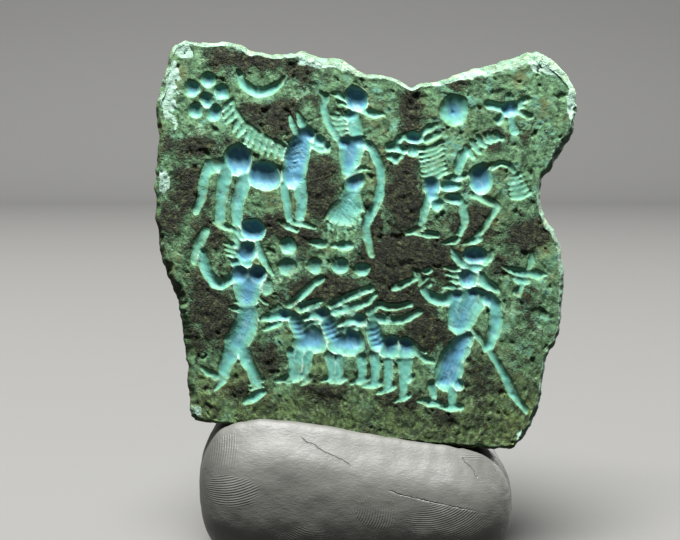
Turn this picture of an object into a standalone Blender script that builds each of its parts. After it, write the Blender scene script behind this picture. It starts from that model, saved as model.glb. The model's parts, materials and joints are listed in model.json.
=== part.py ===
"""Broken green stone plaque, engraved in intaglio, standing in a roll of grey modelling clay.

The plaque stands on its lower edge, leans back a little and is pressed into the top of the roll.
Its face carries sunk figures: two winged beasts, three men, three goats, a bird and signs of the sky.
X runs to the viewer's right, Y away from the viewer and Z up. Sizes here are in millimetres.
"""

import math

import bmesh
import bpy
import numpy as np
from mathutils import Vector, noise
from mathutils.geometry import delaunay_2d_cdt

METRES_PER_MM = 0.001

# The plaque
SLAB_WIDTH = 85.0
SLAB_HEIGHT = 81.8
SLAB_THICKNESS = 11.0
SLAB_LEAN = math.radians(6.0)
BACK_BEVEL = 1.6
BEVEL_SLOPE = 1.1
FACE_UNEVENNESS = 0.35
BACK_UNEVENNESS = 0.8
SIDE_BULGE = 0.5

# The clay roll
CLAY_LENGTH = 65.0
CLAY_DEPTH = 31.0
CLAY_HEIGHT = 30.0
CLAY_FALL = 6.8
CLAY_FALL_START = 0.15
CLAY_FLATTENING = 1.5
CLAY_SHIFT = -2.2
CLAY_ROUNDNESS = 2.4
CLAY_END_ROUNDNESS = 8.0

# How the plaque sits in the roll
SEAT_DEPTH = 3.0
SEAT_CLEARANCE = 0.3
SLAB_FORWARD = 8.0

# Depths of the sunk carving
BODY_CUT = 2.0
LIMB_CUT = 1.1
FINE_CUT = 0.6
CUP_CUT = 1.3
DEEPEST_CUT = 3.0
DISH_SHAPE = 0.85

# Where the figures stand on the face, from its middle and its foot
LEFT_COLUMN = -23.2
MIDDLE_COLUMN = -3.2
RIGHT_COLUMN = 16.8
UPPER_ROW = 50.4
LOWER_ROW = 30.4
SKY_ROW = 70.4

# The engraver's module: figures are laid out in hundredths of it, from each one's own origin
MODULE = 20.0

# Mesh spacing and accuracy
OUTLINE_SPACING = 2.4
FIELD_SPACING = 8.0
BACK_SPACING = 6.5
MAP_SPACING = 0.45
FACE_TOLERANCE = 0.35
FACE_ROUNDS = 12
CLAY_RINGS = 18
CLAY_SIDES = 22

# The broken outline, clockwise from the top left corner: across, up, and the width of the chipped
# bevel there. It is drawn at its natural size and stretched to the slab's width and height.
OUTLINE = [
    (-38.6, 81.0, 0.7), (-35.2, 81.8, 0.7), (-32.2, 81.2, 0.8), (-26.8, 81.4, 0.8),
    (-23.2, 80.2, 1.4), (-17.6, 79.0, 1.0), (-13.2, 79.8, 1.6), (-7.2, 78.2, 1.9),
    (-2.8, 77.2, 2.0), (0.0, 75.4, 1.2), (4.8, 74.2, 0.9), (8.4, 72.8, 0.7),
    (11.6, 73.8, 0.9), (14.8, 74.0, 1.2), (18.0, 75.4, 1.8), (24.8, 77.2, 2.8),
    (30.8, 79.0, 3.0), (34.4, 80.0, 3.0), (37.2, 79.0, 2.4), (40.0, 76.0, 1.4),
    (42.0, 72.0, 1.1), (42.4, 68.4, 1.1), (41.8, 65.0, 1.2), (40.6, 61.6, 1.2),
    (38.2, 59.2, 1.4), (37.0, 56.4, 1.2), (34.8, 53.4, 0.9), (34.4, 50.4, 0.9),
    (35.6, 47.2, 1.2), (38.2, 43.2, 1.3), (39.4, 38.4, 1.1), (39.4, 32.4, 0.9),
    (38.6, 24.4, 0.8), (36.6, 20.0, 0.9), (35.4, 14.4, 0.8), (34.2, 8.0, 0.8),
    (32.0, 3.0, 1.2), (29.2, 0.3, 0.9), (26.0, 0.0, 0.8), (12.8, 0.8, 0.8),
    (-3.2, 2.2, 0.8), (-19.2, 3.6, 0.8), (-30.8, 4.8, 0.8), (-34.2, 6.0, 0.9),
    (-35.6, 7.8, 1.2), (-36.0, 13.4, 1.5), (-36.8, 22.4, 2.3), (-38.4, 30.4, 2.2),
    (-41.2, 38.4, 1.6), (-42.4, 45.4, 1.2), (-42.6, 52.4, 1.0), (-41.6, 60.0, 1.0),
    (-42.2, 66.8, 1.0), (-41.2, 72.4, 1.0), (-39.6, 78.0, 0.9),
]


def clear_scene():
    for item in list(bpy.data.objects):
        bpy.data.objects.remove(item)


def make_material(name, colour, roughness):
    material = bpy.data.materials.new(name)
    material.use_nodes = True
    shader = material.node_tree.nodes["Principled BSDF"]
    shader.inputs["Base Color"].default_value = (*colour, 1.0)
    shader.inputs["Roughness"].default_value = roughness
    return material


def ripple(x, y, seed, wavelength):
    """Smooth noise between 0 and 1 at a point of the plane; the seed picks the pattern."""
    spot = Vector((x / wavelength, y / wavelength, seed))
    return min(1.0, max(0.0, 0.5 + 0.5 * noise.noise(spot)))


# Loops

def smooth_loop(rows, spacing):
    """A closed Catmull-Rom curve through the rows, resampled at an even spacing."""
    rows = np.array(rows, float)
    before, after, beyond = np.roll(rows, 1, 0), np.roll(rows, -1, 0), np.roll(rows, -2, 0)
    fine = []
    for t in np.arange(0.0, 1.0, 0.1):
        fine.append(0.5 * (2 * rows + (after - before) * t
                           + (2 * before - 5 * rows + 4 * after - beyond) * t ** 2
                           + (3 * rows - before - 3 * after + beyond) * t ** 3))
    fine = np.stack(fine, 1).reshape(-1, rows.shape[1])
    closed = np.vstack([fine, fine[:1]])
    steps = np.linalg.norm(np.diff(closed[:, :2], axis=0), axis=1)
    along = np.concatenate([[0.0], np.cumsum(steps)])
    count = round(along[-1] / spacing)
    at = np.arange(count) * along[-1] / count
    return np.stack([np.interp(at, along, column) for column in closed.T], 1)


def inset(loop, distance):
    """The clockwise loop moved inwards by the distance at each of its points."""
    ahead = np.roll(loop, -2, 0) - np.roll(loop, 2, 0)
    inward = np.stack([ahead[:, 1], -ahead[:, 0]], 1)
    inward /= np.linalg.norm(inward, axis=1)[:, None]
    return loop + inward * np.broadcast_to(distance, len(loop))[:, None]


def inside(points, loop):
    """Which points lie inside the closed loop."""
    x, y = points[:, 0][:, None], points[:, 1][:, None]
    start, end = loop, np.roll(loop, -1, 0)
    crosses = (start[:, 1] > y) != (end[:, 1] > y)
    rise = np.where(end[:, 1] == start[:, 1], 1e-9, end[:, 1] - start[:, 1])
    reach = start[:, 0] + (y - start[:, 1]) / rise * (end[:, 0] - start[:, 0])
    return (crosses & (x < reach)).sum(1) % 2 == 1


def layout_scale():
    """How far the drawn outline and figures stretch across and up to fill the slab's size."""
    drawn = smooth_loop(OUTLINE, OUTLINE_SPACING)
    return (SLAB_WIDTH / np.ptp(drawn[:, 0]), SLAB_HEIGHT / np.ptp(drawn[:, 1]))


def slab_outline():
    """The slab's silhouette across and up, with its lowest point at 0, and the bevel's width."""
    loop = smooth_loop(OUTLINE, OUTLINE_SPACING)
    across, up = layout_scale()
    loop[:, 0] *= across
    loop[:, 1] = (loop[:, 1] - loop[:, 1].min()) * up
    return loop[:, :2], loop[:, 2]


# Sunk cuts

class Figure:
    """The tool cuts of one figure: hollows left by a ball drill, and grooves left by a wheel."""

    def __init__(self, across, up):
        self.origin = np.array([across, up], float)
        self.step = MODULE / 100.0
        self.hollows = []
        self.grooves = []

    def hollow(self, x, y, wide, tall, depth, turn=0.0):
        """An oval bowl about a point, with its half width and half height."""
        centre = self.origin + np.array([x, y]) * self.step
        self.hollows.append((centre, wide * self.step, tall * self.step, math.radians(turn), depth))

    def groove(self, depth, *rows):
        """A round-bottomed groove through rows of across, up and half width."""
        path = np.array(rows, float) * self.step
        path[:, :2] += self.origin
        self.grooves.append((path, depth))

    def strokes(self, depth, first, last, step, count):
        """Like strokes side by side, such as a beard or ribs, each a step away from the one before."""
        for i in range(count):
            shift = np.array([step[0] * i, step[1] * i, 0.0])
            self.groove(depth, np.array(first) + shift, np.array(last) + shift)

    def cap_and_cheek(self, x, y, size, tilt):
        """A head as two drilled hollows: the cap, and the cheek below it."""
        self.hollow(x, y, size * 1.3, size * 1.1, BODY_CUT * 0.85, turn=tilt)
        self.hollow(x - size * 0.5, y - size * 2.1, size, size, LIMB_CUT * 1.2)

    def shoulders(self, x, y, apart, size):
        self.hollow(x - apart / 2, y, size, size, BODY_CUT)
        self.hollow(x + apart / 2, y + 1, size * 1.1, size, BODY_CUT)

    def limb(self, depth, *rows):
        """A leg or an arm: a groove with a drilled hollow at its joints."""
        self.groove(depth, *rows)
        for x, y, half_width in rows[1:-1]:
            self.hollow(x, y, half_width * 1.2, half_width * 1.2, depth)

    def foot(self, heel, toe, half_width=3.5):
        self.groove(LIMB_CUT, (*heel, half_width), (*toe, half_width * 0.5))

    def moved(self, shift):
        self.hollows = [(hollow[0] + shift, *hollow[1:]) for hollow in self.hollows]
        self.grooves = [(path + (*shift, 0.0), depth) for path, depth in self.grooves]


def hollow_depth(hollow, points):
    centre, wide, tall, turn, depth = hollow
    offset = points - centre
    x = offset[:, 0] * math.cos(turn) + offset[:, 1] * math.sin(turn)
    y = offset[:, 1] * math.cos(turn) - offset[:, 0] * math.sin(turn)
    return depth * np.clip(1.0 - (x / wide) ** 2 - (y / tall) ** 2, 0.0, 1.0) ** DISH_SHAPE


def groove_depth(groove, points):
    path, depth = groove
    deepest = np.zeros(len(points))
    for start, end in zip(path[:-1], path[1:]):
        along = end[:2] - start[:2]
        share = np.clip((points - start[:2]) @ along / (along @ along), 0.0, 1.0)
        gap = np.linalg.norm(points - start[:2] - share[:, None] * along, axis=1)
        half_width = start[2] + share * (end[2] - start[2])
        fullness = np.clip(1.0 - (gap / half_width) ** 2, 0.0, 1.0) ** DISH_SHAPE
        deepest = np.maximum(deepest, depth * fullness)
    return deepest


def carving_depth(figures, points):
    """How deep the deepest cut lies below the face at each point."""
    deepest = np.zeros(len(points))
    for figure in figures:
        for hollow in figure.hollows:
            deepest = np.maximum(deepest, hollow_depth(hollow, points))
        for groove in figure.grooves:
            deepest = np.maximum(deepest, groove_depth(groove, points))
    return np.minimum(deepest, DEEPEST_CUT)


# The figures on the face

def sky_signs():
    cups = Figure(LEFT_COLUMN - 9.2, SKY_ROW)
    for x, y in [(-13, 8), (3, 18), (18, 6), (1, -3), (-12, -15), (11, -17)]:
        cups.hollow(x, y, 8, 8, CUP_CUT)

    moon = Figure(LEFT_COLUMN + 2.2, SKY_ROW + 6.0)
    radius, thickest, steps = 27.0, 5.0, 8
    rows = []
    for i in range(steps + 1):
        angle = math.radians(-156 + 132 * i / steps)
        swell = 1.6 + (thickest - 1.6) * math.sin(math.pi * i / steps)
        rows.append((radius * math.cos(angle), radius * math.sin(angle), swell))
    moon.groove(LIMB_CUT, *rows)

    disc = Figure(RIGHT_COLUMN + 0.9, SKY_ROW - 2.4)
    disc.hollow(0, 0, 16, 17, CUP_CUT)

    star = Figure(RIGHT_COLUMN + 11.8, SKY_ROW - 2.0)
    star.hollow(0, 0, 7, 7, CUP_CUT)
    for angle, length in [(170, 25), (222, 19), (285, 25), (342, 24), (30, 22), (98, 15)]:
        ray = np.array([math.cos(math.radians(angle)), math.sin(math.radians(angle))])
        star.groove(LIMB_CUT, (*ray * 6, 3.5), (*ray * (length - 3), 3.5))
    return [cups, moon, disc, star]


def row_of_cups():
    row = Figure(MIDDLE_COLUMN - 7.2, UPPER_ROW - 13.6)
    for x, y in [(-28, 20), (-28, 0), (0, 1), (26, 0), (48, -3)]:
        row.hollow(x, y, 8.5, 9, CUP_CUT)
    return row


def small_bird():
    bird = Figure(RIGHT_COLUMN + 14.4, LOWER_ROW + 5.0)
    bird.groove(LIMB_CUT, (-19, 5, 1.5), (-5, -1, 3.5), (8, -3, 4), (25, 0, 1.5))
    bird.groove(FINE_CUT, (8, 18, 3), (7, 6, 3))
    bird.groove(FINE_CUT, (2, -8, 2), (-5, -19, 3))
    return bird


def feathers(figure, edge, length, lean, count, half_width):
    """Wing feathers side by side, hanging from the leading edge that runs through the points."""
    edge = np.array(edge, float)
    for i, at in enumerate(np.linspace(0.0, len(edge) - 1.0, count)):
        root = [np.interp(at, range(len(edge)), column) for column in edge.T]
        reach = length * (0.7 + 0.3 * math.sin(math.pi * i / (count - 1)))
        tip = (root[0] + reach * math.cos(lean), root[1] + reach * math.sin(lean))
        figure.groove(LIMB_CUT, (*root, half_width * 0.8), (*tip, half_width))


def winged_horse():
    horse = Figure(LEFT_COLUMN, UPPER_ROW)
    horse.hollow(-14, 37, 15, 16, BODY_CUT)
    horse.hollow(-36, 33, 12, 8, LIMB_CUT)
    horse.hollow(14, 23, 17, 16, BODY_CUT, turn=-12)
    horse.groove(BODY_CUT * 0.85, (40, 27, 12), (44, 45, 10), (49, 60, 7))
    horse.groove(LIMB_CUT * 1.3, (54, 62, 8), (68, 56, 6), (78, 51, 4.5))
    horse.strokes(LIMB_CUT, (39, 80, 2.5), (47, 65, 3.5), step=(9, 4), count=2)
    horse.limb(LIMB_CUT, (-22, 22, 7), (-28, 0, 5), (-29, -21, 4))
    horse.limb(LIMB_CUT, (-5, 17, 6), (-11, 0, 5), (-14, -16, 4))
    horse.limb(LIMB_CUT, (36, 12, 5), (34, -5, 4), (39, -21, 3.5))
    horse.limb(LIMB_CUT, (49, 16, 6), (50, -5, 5), (47, -19, 4))
    horse.foot((-21, -30), (-35, -28))
    horse.foot((33, -27), (46, -33))
    horse.foot((43, -27), (61, -30))
    horse.groove(FINE_CUT, (-41, 28, 3), (-46, 14, 4), (-50, 0, 4), (-54, -11, 2.5))
    feathers(horse, [(-14, 93), (-7, 80), (2, 69), (13, 60), (25, 53), (36, 48)],
             length=13, lean=math.radians(-118), count=10, half_width=3.0)
    return horse


def winged_bull():
    bull = Figure(RIGHT_COLUMN, UPPER_ROW)
    bull.groove(LIMB_CUT, (-64, 49, 5), (-54, 50, 5))
    bull.groove(FINE_CUT, (-62, 39, 3), (-52, 39, 4))
    bull.groove(LIMB_CUT * 1.3, (-50, 56, 6), (-38, 58, 7), (-27, 52, 9))
    bull.groove(LIMB_CUT, (-28, 62, 2.5), (-17, 72, 2.5))
    bull.strokes(LIMB_CUT, (-31, 49, 2.2), (-12, 55, 2.4), step=(0, -5), count=7)
    bull.hollow(-20, 10, 9, 12, LIMB_CUT * 1.2)
    bull.hollow(3, 8, 16, 15, BODY_CUT * 0.9)
    bull.hollow(30, 19, 13, 17, BODY_CUT)
    bull.groove(FINE_CUT, (-22, 0, 5), (-10, -8, 5))
    bull.groove(FINE_CUT, (24, 0, 4), (40, -3, 5))
    bull.limb(LIMB_CUT, (41, 27, 2.5), (53, 32, 3), (64, 29, 4))
    bull.strokes(LIMB_CUT, (59, 19, 2.3), (72, 22, 2.5), step=(3, -6), count=4)
    bull.groove(FINE_CUT, (-28, -6, 4), (-29, -22, 4))
    bull.groove(FINE_CUT, (14, -8, 5), (16, -26, 3.5))
    bull.limb(FINE_CUT, (47, -13, 3), (36, -26, 3), (28, -38, 3.5))
    bull.foot((-27, -31), (-43, -30))
    bull.foot((-13, -35), (-35, -38), half_width=3.0)
    bull.foot((13, -39), (-6, -45), half_width=3.0)
    bull.foot((30, -43), (12, -46), half_width=3.0)
    bull.groove(LIMB_CUT, (-2, 20, 2), (12, 25, 4), (13, 39, 5))
    feathers(bull, [(14, 50), (24, 57), (36, 63), (50, 66)],
             length=9, lean=math.radians(-55), count=6, half_width=2.8)
    return bull


def robed_man():
    """The man at the top middle, with one hand raised before his face."""
    man = Figure(MIDDLE_COLUMN, UPPER_ROW)
    man.cap_and_cheek(6, 100, 11, tilt=-40)
    man.groove(FINE_CUT, (-19, 104, 1.8), (-4, 98, 3))
    man.groove(FINE_CUT, (16, 88, 3), (31, 81, 2))
    man.strokes(FINE_CUT, (-19, 82, 2), (-6, 81, 2.6), step=(0, -8), count=3)
    man.limb(LIMB_CUT, (-26, 99, 3), (-25, 85, 4), (-19, 68, 4), (-12, 56, 4))
    man.shoulders(2, 57, apart=14, size=6.5)
    man.groove(LIMB_CUT * 1.3, (0, 51, 12), (-2, 40, 10), (-5, 28, 4))
    man.groove(LIMB_CUT * 0.8, (14, 51, 5), (24, 42, 5), (30, 27, 5), (31, 5, 4.5), (24, -9, 5),
               (17, -20, 4.5), (20, -36, 4.5), (23, -57, 3))
    man.groove(LIMB_CUT, (-10, 20, 2.5), (2, 26, 3), (18, 36, 2.5))
    man.hollow(0, 13, 14, 8, LIMB_CUT * 1.3, turn=25)
    man.groove(LIMB_CUT, (-4, 4, 9), (-10, -10, 11), (-14, -22, 12))
    man.strokes(LIMB_CUT * 0.8, (-20, -22, 4), (-24, -43, 4), step=(9, 0), count=3)
    man.groove(FINE_CUT, (2, -8, 4), (14, -26, 3))
    man.foot((-24, -48), (-40, -46))
    man.foot((0, -49), (-17, -49), half_width=4.0)
    return man


def club_man():
    """The man at the left, with a club raised behind his bent arm."""
    man = Figure(LEFT_COLUMN, LOWER_ROW)
    man.cap_and_cheek(2, 68, 11, tilt=-20)
    man.groove(FINE_CUT, (9, 57, 3), (15, 44, 4), (20, 28, 2))
    man.groove(FINE_CUT, (-14, 76, 2.5), (-13, 64, 3))
    man.strokes(FINE_CUT, (-24, 54, 2), (-12, 54, 2.6), step=(0.5, -6), count=3)
    man.hollow(-15, 36, 6, 6, LIMB_CUT)
    man.shoulders(-3, 27, apart=17, size=8)
    man.groove(BODY_CUT * 0.8, (-2, 20, 14), (-2, 1, 11))
    man.groove(LIMB_CUT, (-18, -9, 2.2), (-4, -11, 3), (12, -6, 2.2))
    man.limb(LIMB_CUT, (-18, 20, 4), (-32, 17, 5), (-42, 25, 5), (-47, 38, 4.5), (-47, 47, 3.5))
    man.groove(FINE_CUT, (-56, 36, 3), (-54, 50, 5), (-47, 64, 5))
    man.groove(FINE_CUT, (13, 17, 3), (22, 4, 4))
    man.groove(LIMB_CUT * 1.2, (-3, -18, 12), (-8, -35, 11), (-16, -48, 8))
    man.limb(LIMB_CUT, (-16, -46, 8), (-22, -62, 6), (-24, -73, 5))
    man.limb(LIMB_CUT, (-10, -44, 7), (-4, -64, 6), (5, -86, 4))
    man.groove(LIMB_CUT, (-46, -73, 1.8), (-33, -80, 3.5), (-22, -78, 3))
    man.foot((-34, -82), (-33, -92), half_width=4.0)
    man.foot((3, -87), (14, -84), half_width=2.5)
    man.foot((-3, -104), (14, -93), half_width=4.5)
    return man


def mace_man():
    """The man at the right, with a horned cap, a mace held out and a long staff."""
    man = Figure(RIGHT_COLUMN, LOWER_ROW)
    man.cap_and_cheek(23, 42, 10, tilt=10)
    man.groove(FINE_CUT, (2, 50, 1.8), (12, 38, 3))
    man.groove(FINE_CUT, (41, 47, 1.8), (33, 36, 2.5))
    man.groove(LIMB_CUT * 0.8, (34, 26, 6), (36, 16, 6), (48, 7, 2.5))
    man.strokes(FINE_CUT, (-4, 28, 1.8), (8, 27, 2.4), step=(1, -6), count=4)
    man.shoulders(16, 4, apart=18, size=7)
    man.groove(BODY_CUT * 0.75, (15, -4, 15), (11, -28, 9))
    man.groove(LIMB_CUT, (2, -33, 2.5), (20, -31, 2.5))
    man.limb(LIMB_CUT * 1.2, (0, 1, 6), (-12, 0, 6), (-24, 7, 4), (-30, 12, 2.5))
    man.groove(LIMB_CUT, (-56, 9, 3), (-45, 14, 2.5), (-32, 18, 2.2))
    man.strokes(FINE_CUT, (-38, 25, 1.9), (-31, 18, 1.9), step=(5, 2), count=2)
    man.hollow(-22, 27, 6, 4.5, LIMB_CUT, turn=20)
    man.limb(LIMB_CUT, (34, -1, 7), (43, -12, 6), (44, -28, 5.5), (41, -42, 5))
    man.hollow(37, -48, 6, 6, LIMB_CUT * 1.2)
    man.groove(FINE_CUT, (25, -31, 2), (36, -51, 2.5))
    man.groove(LIMB_CUT, (39, -55, 3), (50, -76, 3.5), (61, -99, 3.5), (72, -112, 3))
    man.groove(LIMB_CUT * 1.4, (13, -46, 12), (3, -64, 13), (-7, -80, 14))
    man.groove(LIMB_CUT, (16, -52, 9), (10, -84, 8))
    man.strokes(LIMB_CUT, (-19, -88, 3.5), (-17, -100, 3.5), step=(19, -4), count=2)
    man.foot((-12, -108), (-30, -105))
    man.foot((9, -112), (-11, -112), half_width=4.0)
    return man


def goat(across, up, body, legs, horns, head_lift=0.0, neck_back=0.0):
    """A goat that walks to the left, from its neck. Bodies, legs and horns differ from one to the next."""
    beast = Figure(across, up)
    beast.groove(LIMB_CUT * 1.2, (-38, head_lift, 2.5), (-26, 3 + head_lift, 5), (-15, 4 + head_lift, 7.5))
    beast.groove(LIMB_CUT * 1.3, (-4 + neck_back, 0, 8), (neck_back, -13, 9.5))
    for x, y, wide, tall in body:
        beast.hollow(x, y, wide, tall, BODY_CUT * 0.9)
    for top, fetlock, toe in legs:
        beast.groove(LIMB_CUT * 0.8, (*top, 4.3), (*fetlock, 3.6))
        beast.foot((fetlock[0] + 4, fetlock[1] - 3), toe)
    for horn in horns:
        beast.groove(LIMB_CUT * 0.9, *[(x, y, 3.2 - 0.3 * i) for i, (x, y) in enumerate(horn)])
    return beast


def goats():
    first = goat(
        LEFT_COLUMN + 9.8, LOWER_ROW - 5.2,
        body=[(4, -20, 13, 12), (19, -20, 12, 10)],
        legs=[((-7, -30), (-4, -50), (-25, -57)), ((8, -30), (1, -51), (-8, -61))],
        horns=[[(-12, 18), (-4, 28), (11, 36), (18, 46)], [(-6, 17), (6, 23), (18, 28)]],
    )
    first.groove(FINE_CUT, (-36, -8, 2.5), (-22, -2, 3.5))
    second = goat(
        LEFT_COLUMN + 16.6, LOWER_ROW - 5.6,
        body=[(8, -21, 16, 11), (22, -19, 13, 12)],
        legs=[((-5, -32), (-3, -49), (-13, -54)), ((6, -34), (4, -51), (1, -58))],
        horns=[[(-1, 20), (12, 23), (25, 27), (36, 37)], [(3, 10), (17, 16), (30, 21), (43, 33)]],
        head_lift=5, neck_back=-2,
    )
    third = goat(
        LEFT_COLUMN + 24.8, LOWER_ROW - 6.8,
        body=[(14, -16, 12, 10), (32, -17, 12, 12)],
        legs=[
            ((-10, -27), (-13, -46), (-24, -49)), ((0, -27), (0, -49), (-10, -56)),
            ((15, -30), (13, -51), (4, -62)), ((29, -32), (29, -58), (24, -68)),
        ],
        horns=[[(-4, 20), (5, 25), (18, 22), (36, 29)], [(-2, 14), (12, 12), (28, 13), (44, 24)]],
        head_lift=6,
    )
    third.groove(FINE_CUT, (40, -19, 3), (50, -26, 3), (60, -31, 2))
    return [first, second, third]


def all_figures():
    """Every figure, moved with the slab's own stretch so that each keeps its place on the face."""
    found = [*sky_signs(), row_of_cups(), small_bird(), winged_horse(), winged_bull(),
             robed_man(), club_man(), mace_man(), *goats()]
    stretch = layout_scale()
    for figure in found:
        figure.moved(figure.origin * stretch - figure.origin)
    return found


# The face's mesh

def grid_points(loop, spacing):
    """Points of a staggered grid that spans the loop."""
    low, high = loop.min(0), loop.max(0)
    found = []
    for row, y in enumerate(np.arange(low[1], high[1], spacing * math.sin(math.pi / 3))):
        for x in np.arange(low[0] + (row % 2) * spacing / 2, high[0], spacing):
            found.append((x, y))
    return np.array(found)


def patch(rim, points):
    """Triangles between the rim and the points inside it, as flat coordinates and faces."""
    flat = [Vector(p) for p in (*rim, *points)]
    edges = [(i, (i + 1) % len(rim)) for i in range(len(rim))]
    made = delaunay_2d_cdt(flat, edges, [], 0, 1e-6, True)
    found = np.array([tuple(p) for p in made[0]])
    faces = np.array(made[2])
    return found, faces[inside(found[faces].mean(1), rim)]


def worst_spots(corners, heights, level_map, low):
    """For each flat triangle, the map's spot that it misses by most, where that passes the tolerance."""
    found = []
    for triangle, height in zip(corners, heights):
        first = np.maximum(np.ceil((triangle.min(0) - low) / MAP_SPACING).astype(int), 0)
        last = np.floor((triangle.max(0) - low) / MAP_SPACING).astype(int) + 1
        across, up = np.mgrid[first[0]:last[0], first[1]:last[1]]
        if not across.size:
            continue
        spots = np.stack([across.ravel(), up.ravel()], 1) * MAP_SPACING + low
        (ax, ay), (bx, by), (cx, cy) = triangle
        area = (bx - ax) * (cy - ay) - (cx - ax) * (by - ay)
        v = ((spots[:, 0] - ax) * (cy - ay) - (cx - ax) * (spots[:, 1] - ay)) / area
        w = ((bx - ax) * (spots[:, 1] - ay) - (spots[:, 0] - ax) * (by - ay)) / area
        flat = height[0] + v * (height[1] - height[0]) + w * (height[2] - height[0])
        missed = np.abs(level_map[across.ravel(), up.ravel()] - flat)
        missed[(v < 0.0) | (w < 0.0) | (v + w > 1.0)] = 0.0
        if missed.max() > FACE_TOLERANCE:
            found.append(spots[np.argmax(missed)])
    return found


def refined_patch(rim, level):
    """A patch over the rim, refined until its flat triangles follow the level to the tolerance."""
    low = rim.min(0)
    steps = np.ceil(np.ptp(rim, axis=0) / MAP_SPACING).astype(int) + 1
    across, up = np.mgrid[0:steps[0], 0:steps[1]]
    spots = np.stack([across.ravel(), up.ravel()], 1) * MAP_SPACING + low
    level_map = level(spots).reshape(across.shape)
    near_rim = inset(rim, MAP_SPACING)
    field = grid_points(rim, FIELD_SPACING)
    points = list(field[inside(field, near_rim)])
    for _ in range(FACE_ROUNDS):
        found, faces = patch(rim, points)
        added = worst_spots(found[faces], level(found)[faces], level_map, low)
        if not added:
            break
        added = np.array(added)
        points += list(added[inside(added, near_rim)])
    return patch(rim, points)


# The solids

def face_level(points):
    """The worn face's height, at or just below its nominal plane."""
    return np.array([-FACE_UNEVENNESS * ripple(x, y, 0.0, 9.0) for x, y in points])


def back_level(points):
    return np.array([-SLAB_THICKNESS + BACK_UNEVENNESS * ripple(x, y, 3.0, 14.0) for x, y in points])


def add_ring(mesh, flat, height):
    """Mesh vertices from points across and up and their height out of the face."""
    return [mesh.verts.new((x, -z, y)) for (x, y), z in zip(flat, height)]


def join_loops(mesh, first, second):
    """A band of quads between two loops of as many vertices."""
    count = len(first)
    for i in range(count):
        j = (i + 1) % count
        mesh.faces.new((first[i], second[i], second[j], first[j]))


def build_slab(material):
    """The plaque: the carved face, three bands of broken side and an uneven back, as one skin."""
    outline, bevel = slab_outline()
    front_rim = inset(outline, bevel)
    belly = inset(outline, [SIDE_BULGE * ripple(x, y, 5.0, 6.0) for x, y in outline])
    back_rim = inset(outline, BACK_BEVEL)

    figures = all_figures()

    def carved_level(points):
        return face_level(points) - carving_depth(figures, points)

    flat, faces = refined_patch(front_rim, carved_level)
    mesh = bmesh.new()
    front = add_ring(mesh, flat, carved_level(flat))
    for face in faces:
        mesh.faces.new([front[i] for i in face])

    bands = [
        (outline, face_level(front_rim) - bevel * BEVEL_SLOPE),
        (belly, np.full(len(outline), -0.6 * SLAB_THICKNESS)),
        (back_rim, back_level(back_rim)),
    ]
    edge = front[:len(front_rim)]
    for ring, height in bands:
        following = add_ring(mesh, ring, height)
        join_loops(mesh, edge, following)
        edge = following

    field = grid_points(back_rim, BACK_SPACING)
    field = field[inside(field, inset(back_rim, BACK_SPACING * 0.4))]
    flat, faces = patch(back_rim, list(field))
    back = edge + add_ring(mesh, flat[len(edge):], back_level(flat[len(edge):]))
    for face in faces:
        mesh.faces.new([back[i] for i in reversed(face)])

    slab = finish_mesh(mesh, "engraved_stone", material)
    slab.rotation_euler = (-SLAB_LEAN, 0.0, 0.0)
    return slab


def finish_mesh(mesh, name, material):
    """Triangulates the skin, turns its faces outwards and makes it an object in metres."""
    bmesh.ops.triangulate(mesh, faces=mesh.faces)
    bmesh.ops.recalc_face_normals(mesh, faces=mesh.faces)
    bmesh.ops.scale(mesh, vec=(METRES_PER_MM,) * 3, verts=mesh.verts)
    data = bpy.data.meshes.new(name)
    mesh.to_mesh(data)
    mesh.free()
    data.materials.append(material)
    data.shade_smooth()
    data.set_sharp_from_angle(angle=math.radians(30.0))
    made = bpy.data.objects.new(name, data)
    bpy.context.scene.collection.objects.link(made)
    return made


def clay_top(x):
    """The roll's height: full at the left, and pressed lower to the right by the slab's low corner."""
    share = (x - CLAY_SHIFT) / CLAY_LENGTH + 0.5
    pressed = min(1.0, max(0.0, (share - CLAY_FALL_START) / (1.0 - CLAY_FALL_START)))
    return CLAY_HEIGHT - CLAY_FALL * (0.5 - 0.5 * math.cos(math.pi * pressed))


def build_clay(material):
    """The roll: blunt round ends, a round section, and an underside pressed flat on the table."""
    mesh = bmesh.new()
    section_power = 2.0 / CLAY_ROUNDNESS
    loops = []
    for ring in range(CLAY_RINGS):
        share = -math.cos(math.pi * (ring + 0.5) / CLAY_RINGS)
        x = CLAY_SHIFT + share * CLAY_LENGTH / 2
        taper = (1.0 - abs(share) ** CLAY_END_ROUNDNESS) ** 0.5
        half_height = (clay_top(x) + CLAY_FLATTENING) / 2
        middle = clay_top(x) - half_height
        loop = []
        for side in range(CLAY_SIDES):
            angle = 2 * math.pi * side / CLAY_SIDES
            across, up = math.cos(angle), math.sin(angle)
            y = CLAY_DEPTH / 2 * taper * math.copysign(abs(across) ** section_power, across)
            z = middle + half_height * taper * math.copysign(abs(up) ** section_power, up)
            loop.append(mesh.verts.new((x, y, max(z, 0.0))))
        loops.append(loop)
    for first, second in zip(loops[:-1], loops[1:]):
        join_loops(mesh, first, second)
    mesh.faces.new(loops[0])
    mesh.faces.new(loops[-1])
    return finish_mesh(mesh, "clay_roll", material)


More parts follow.
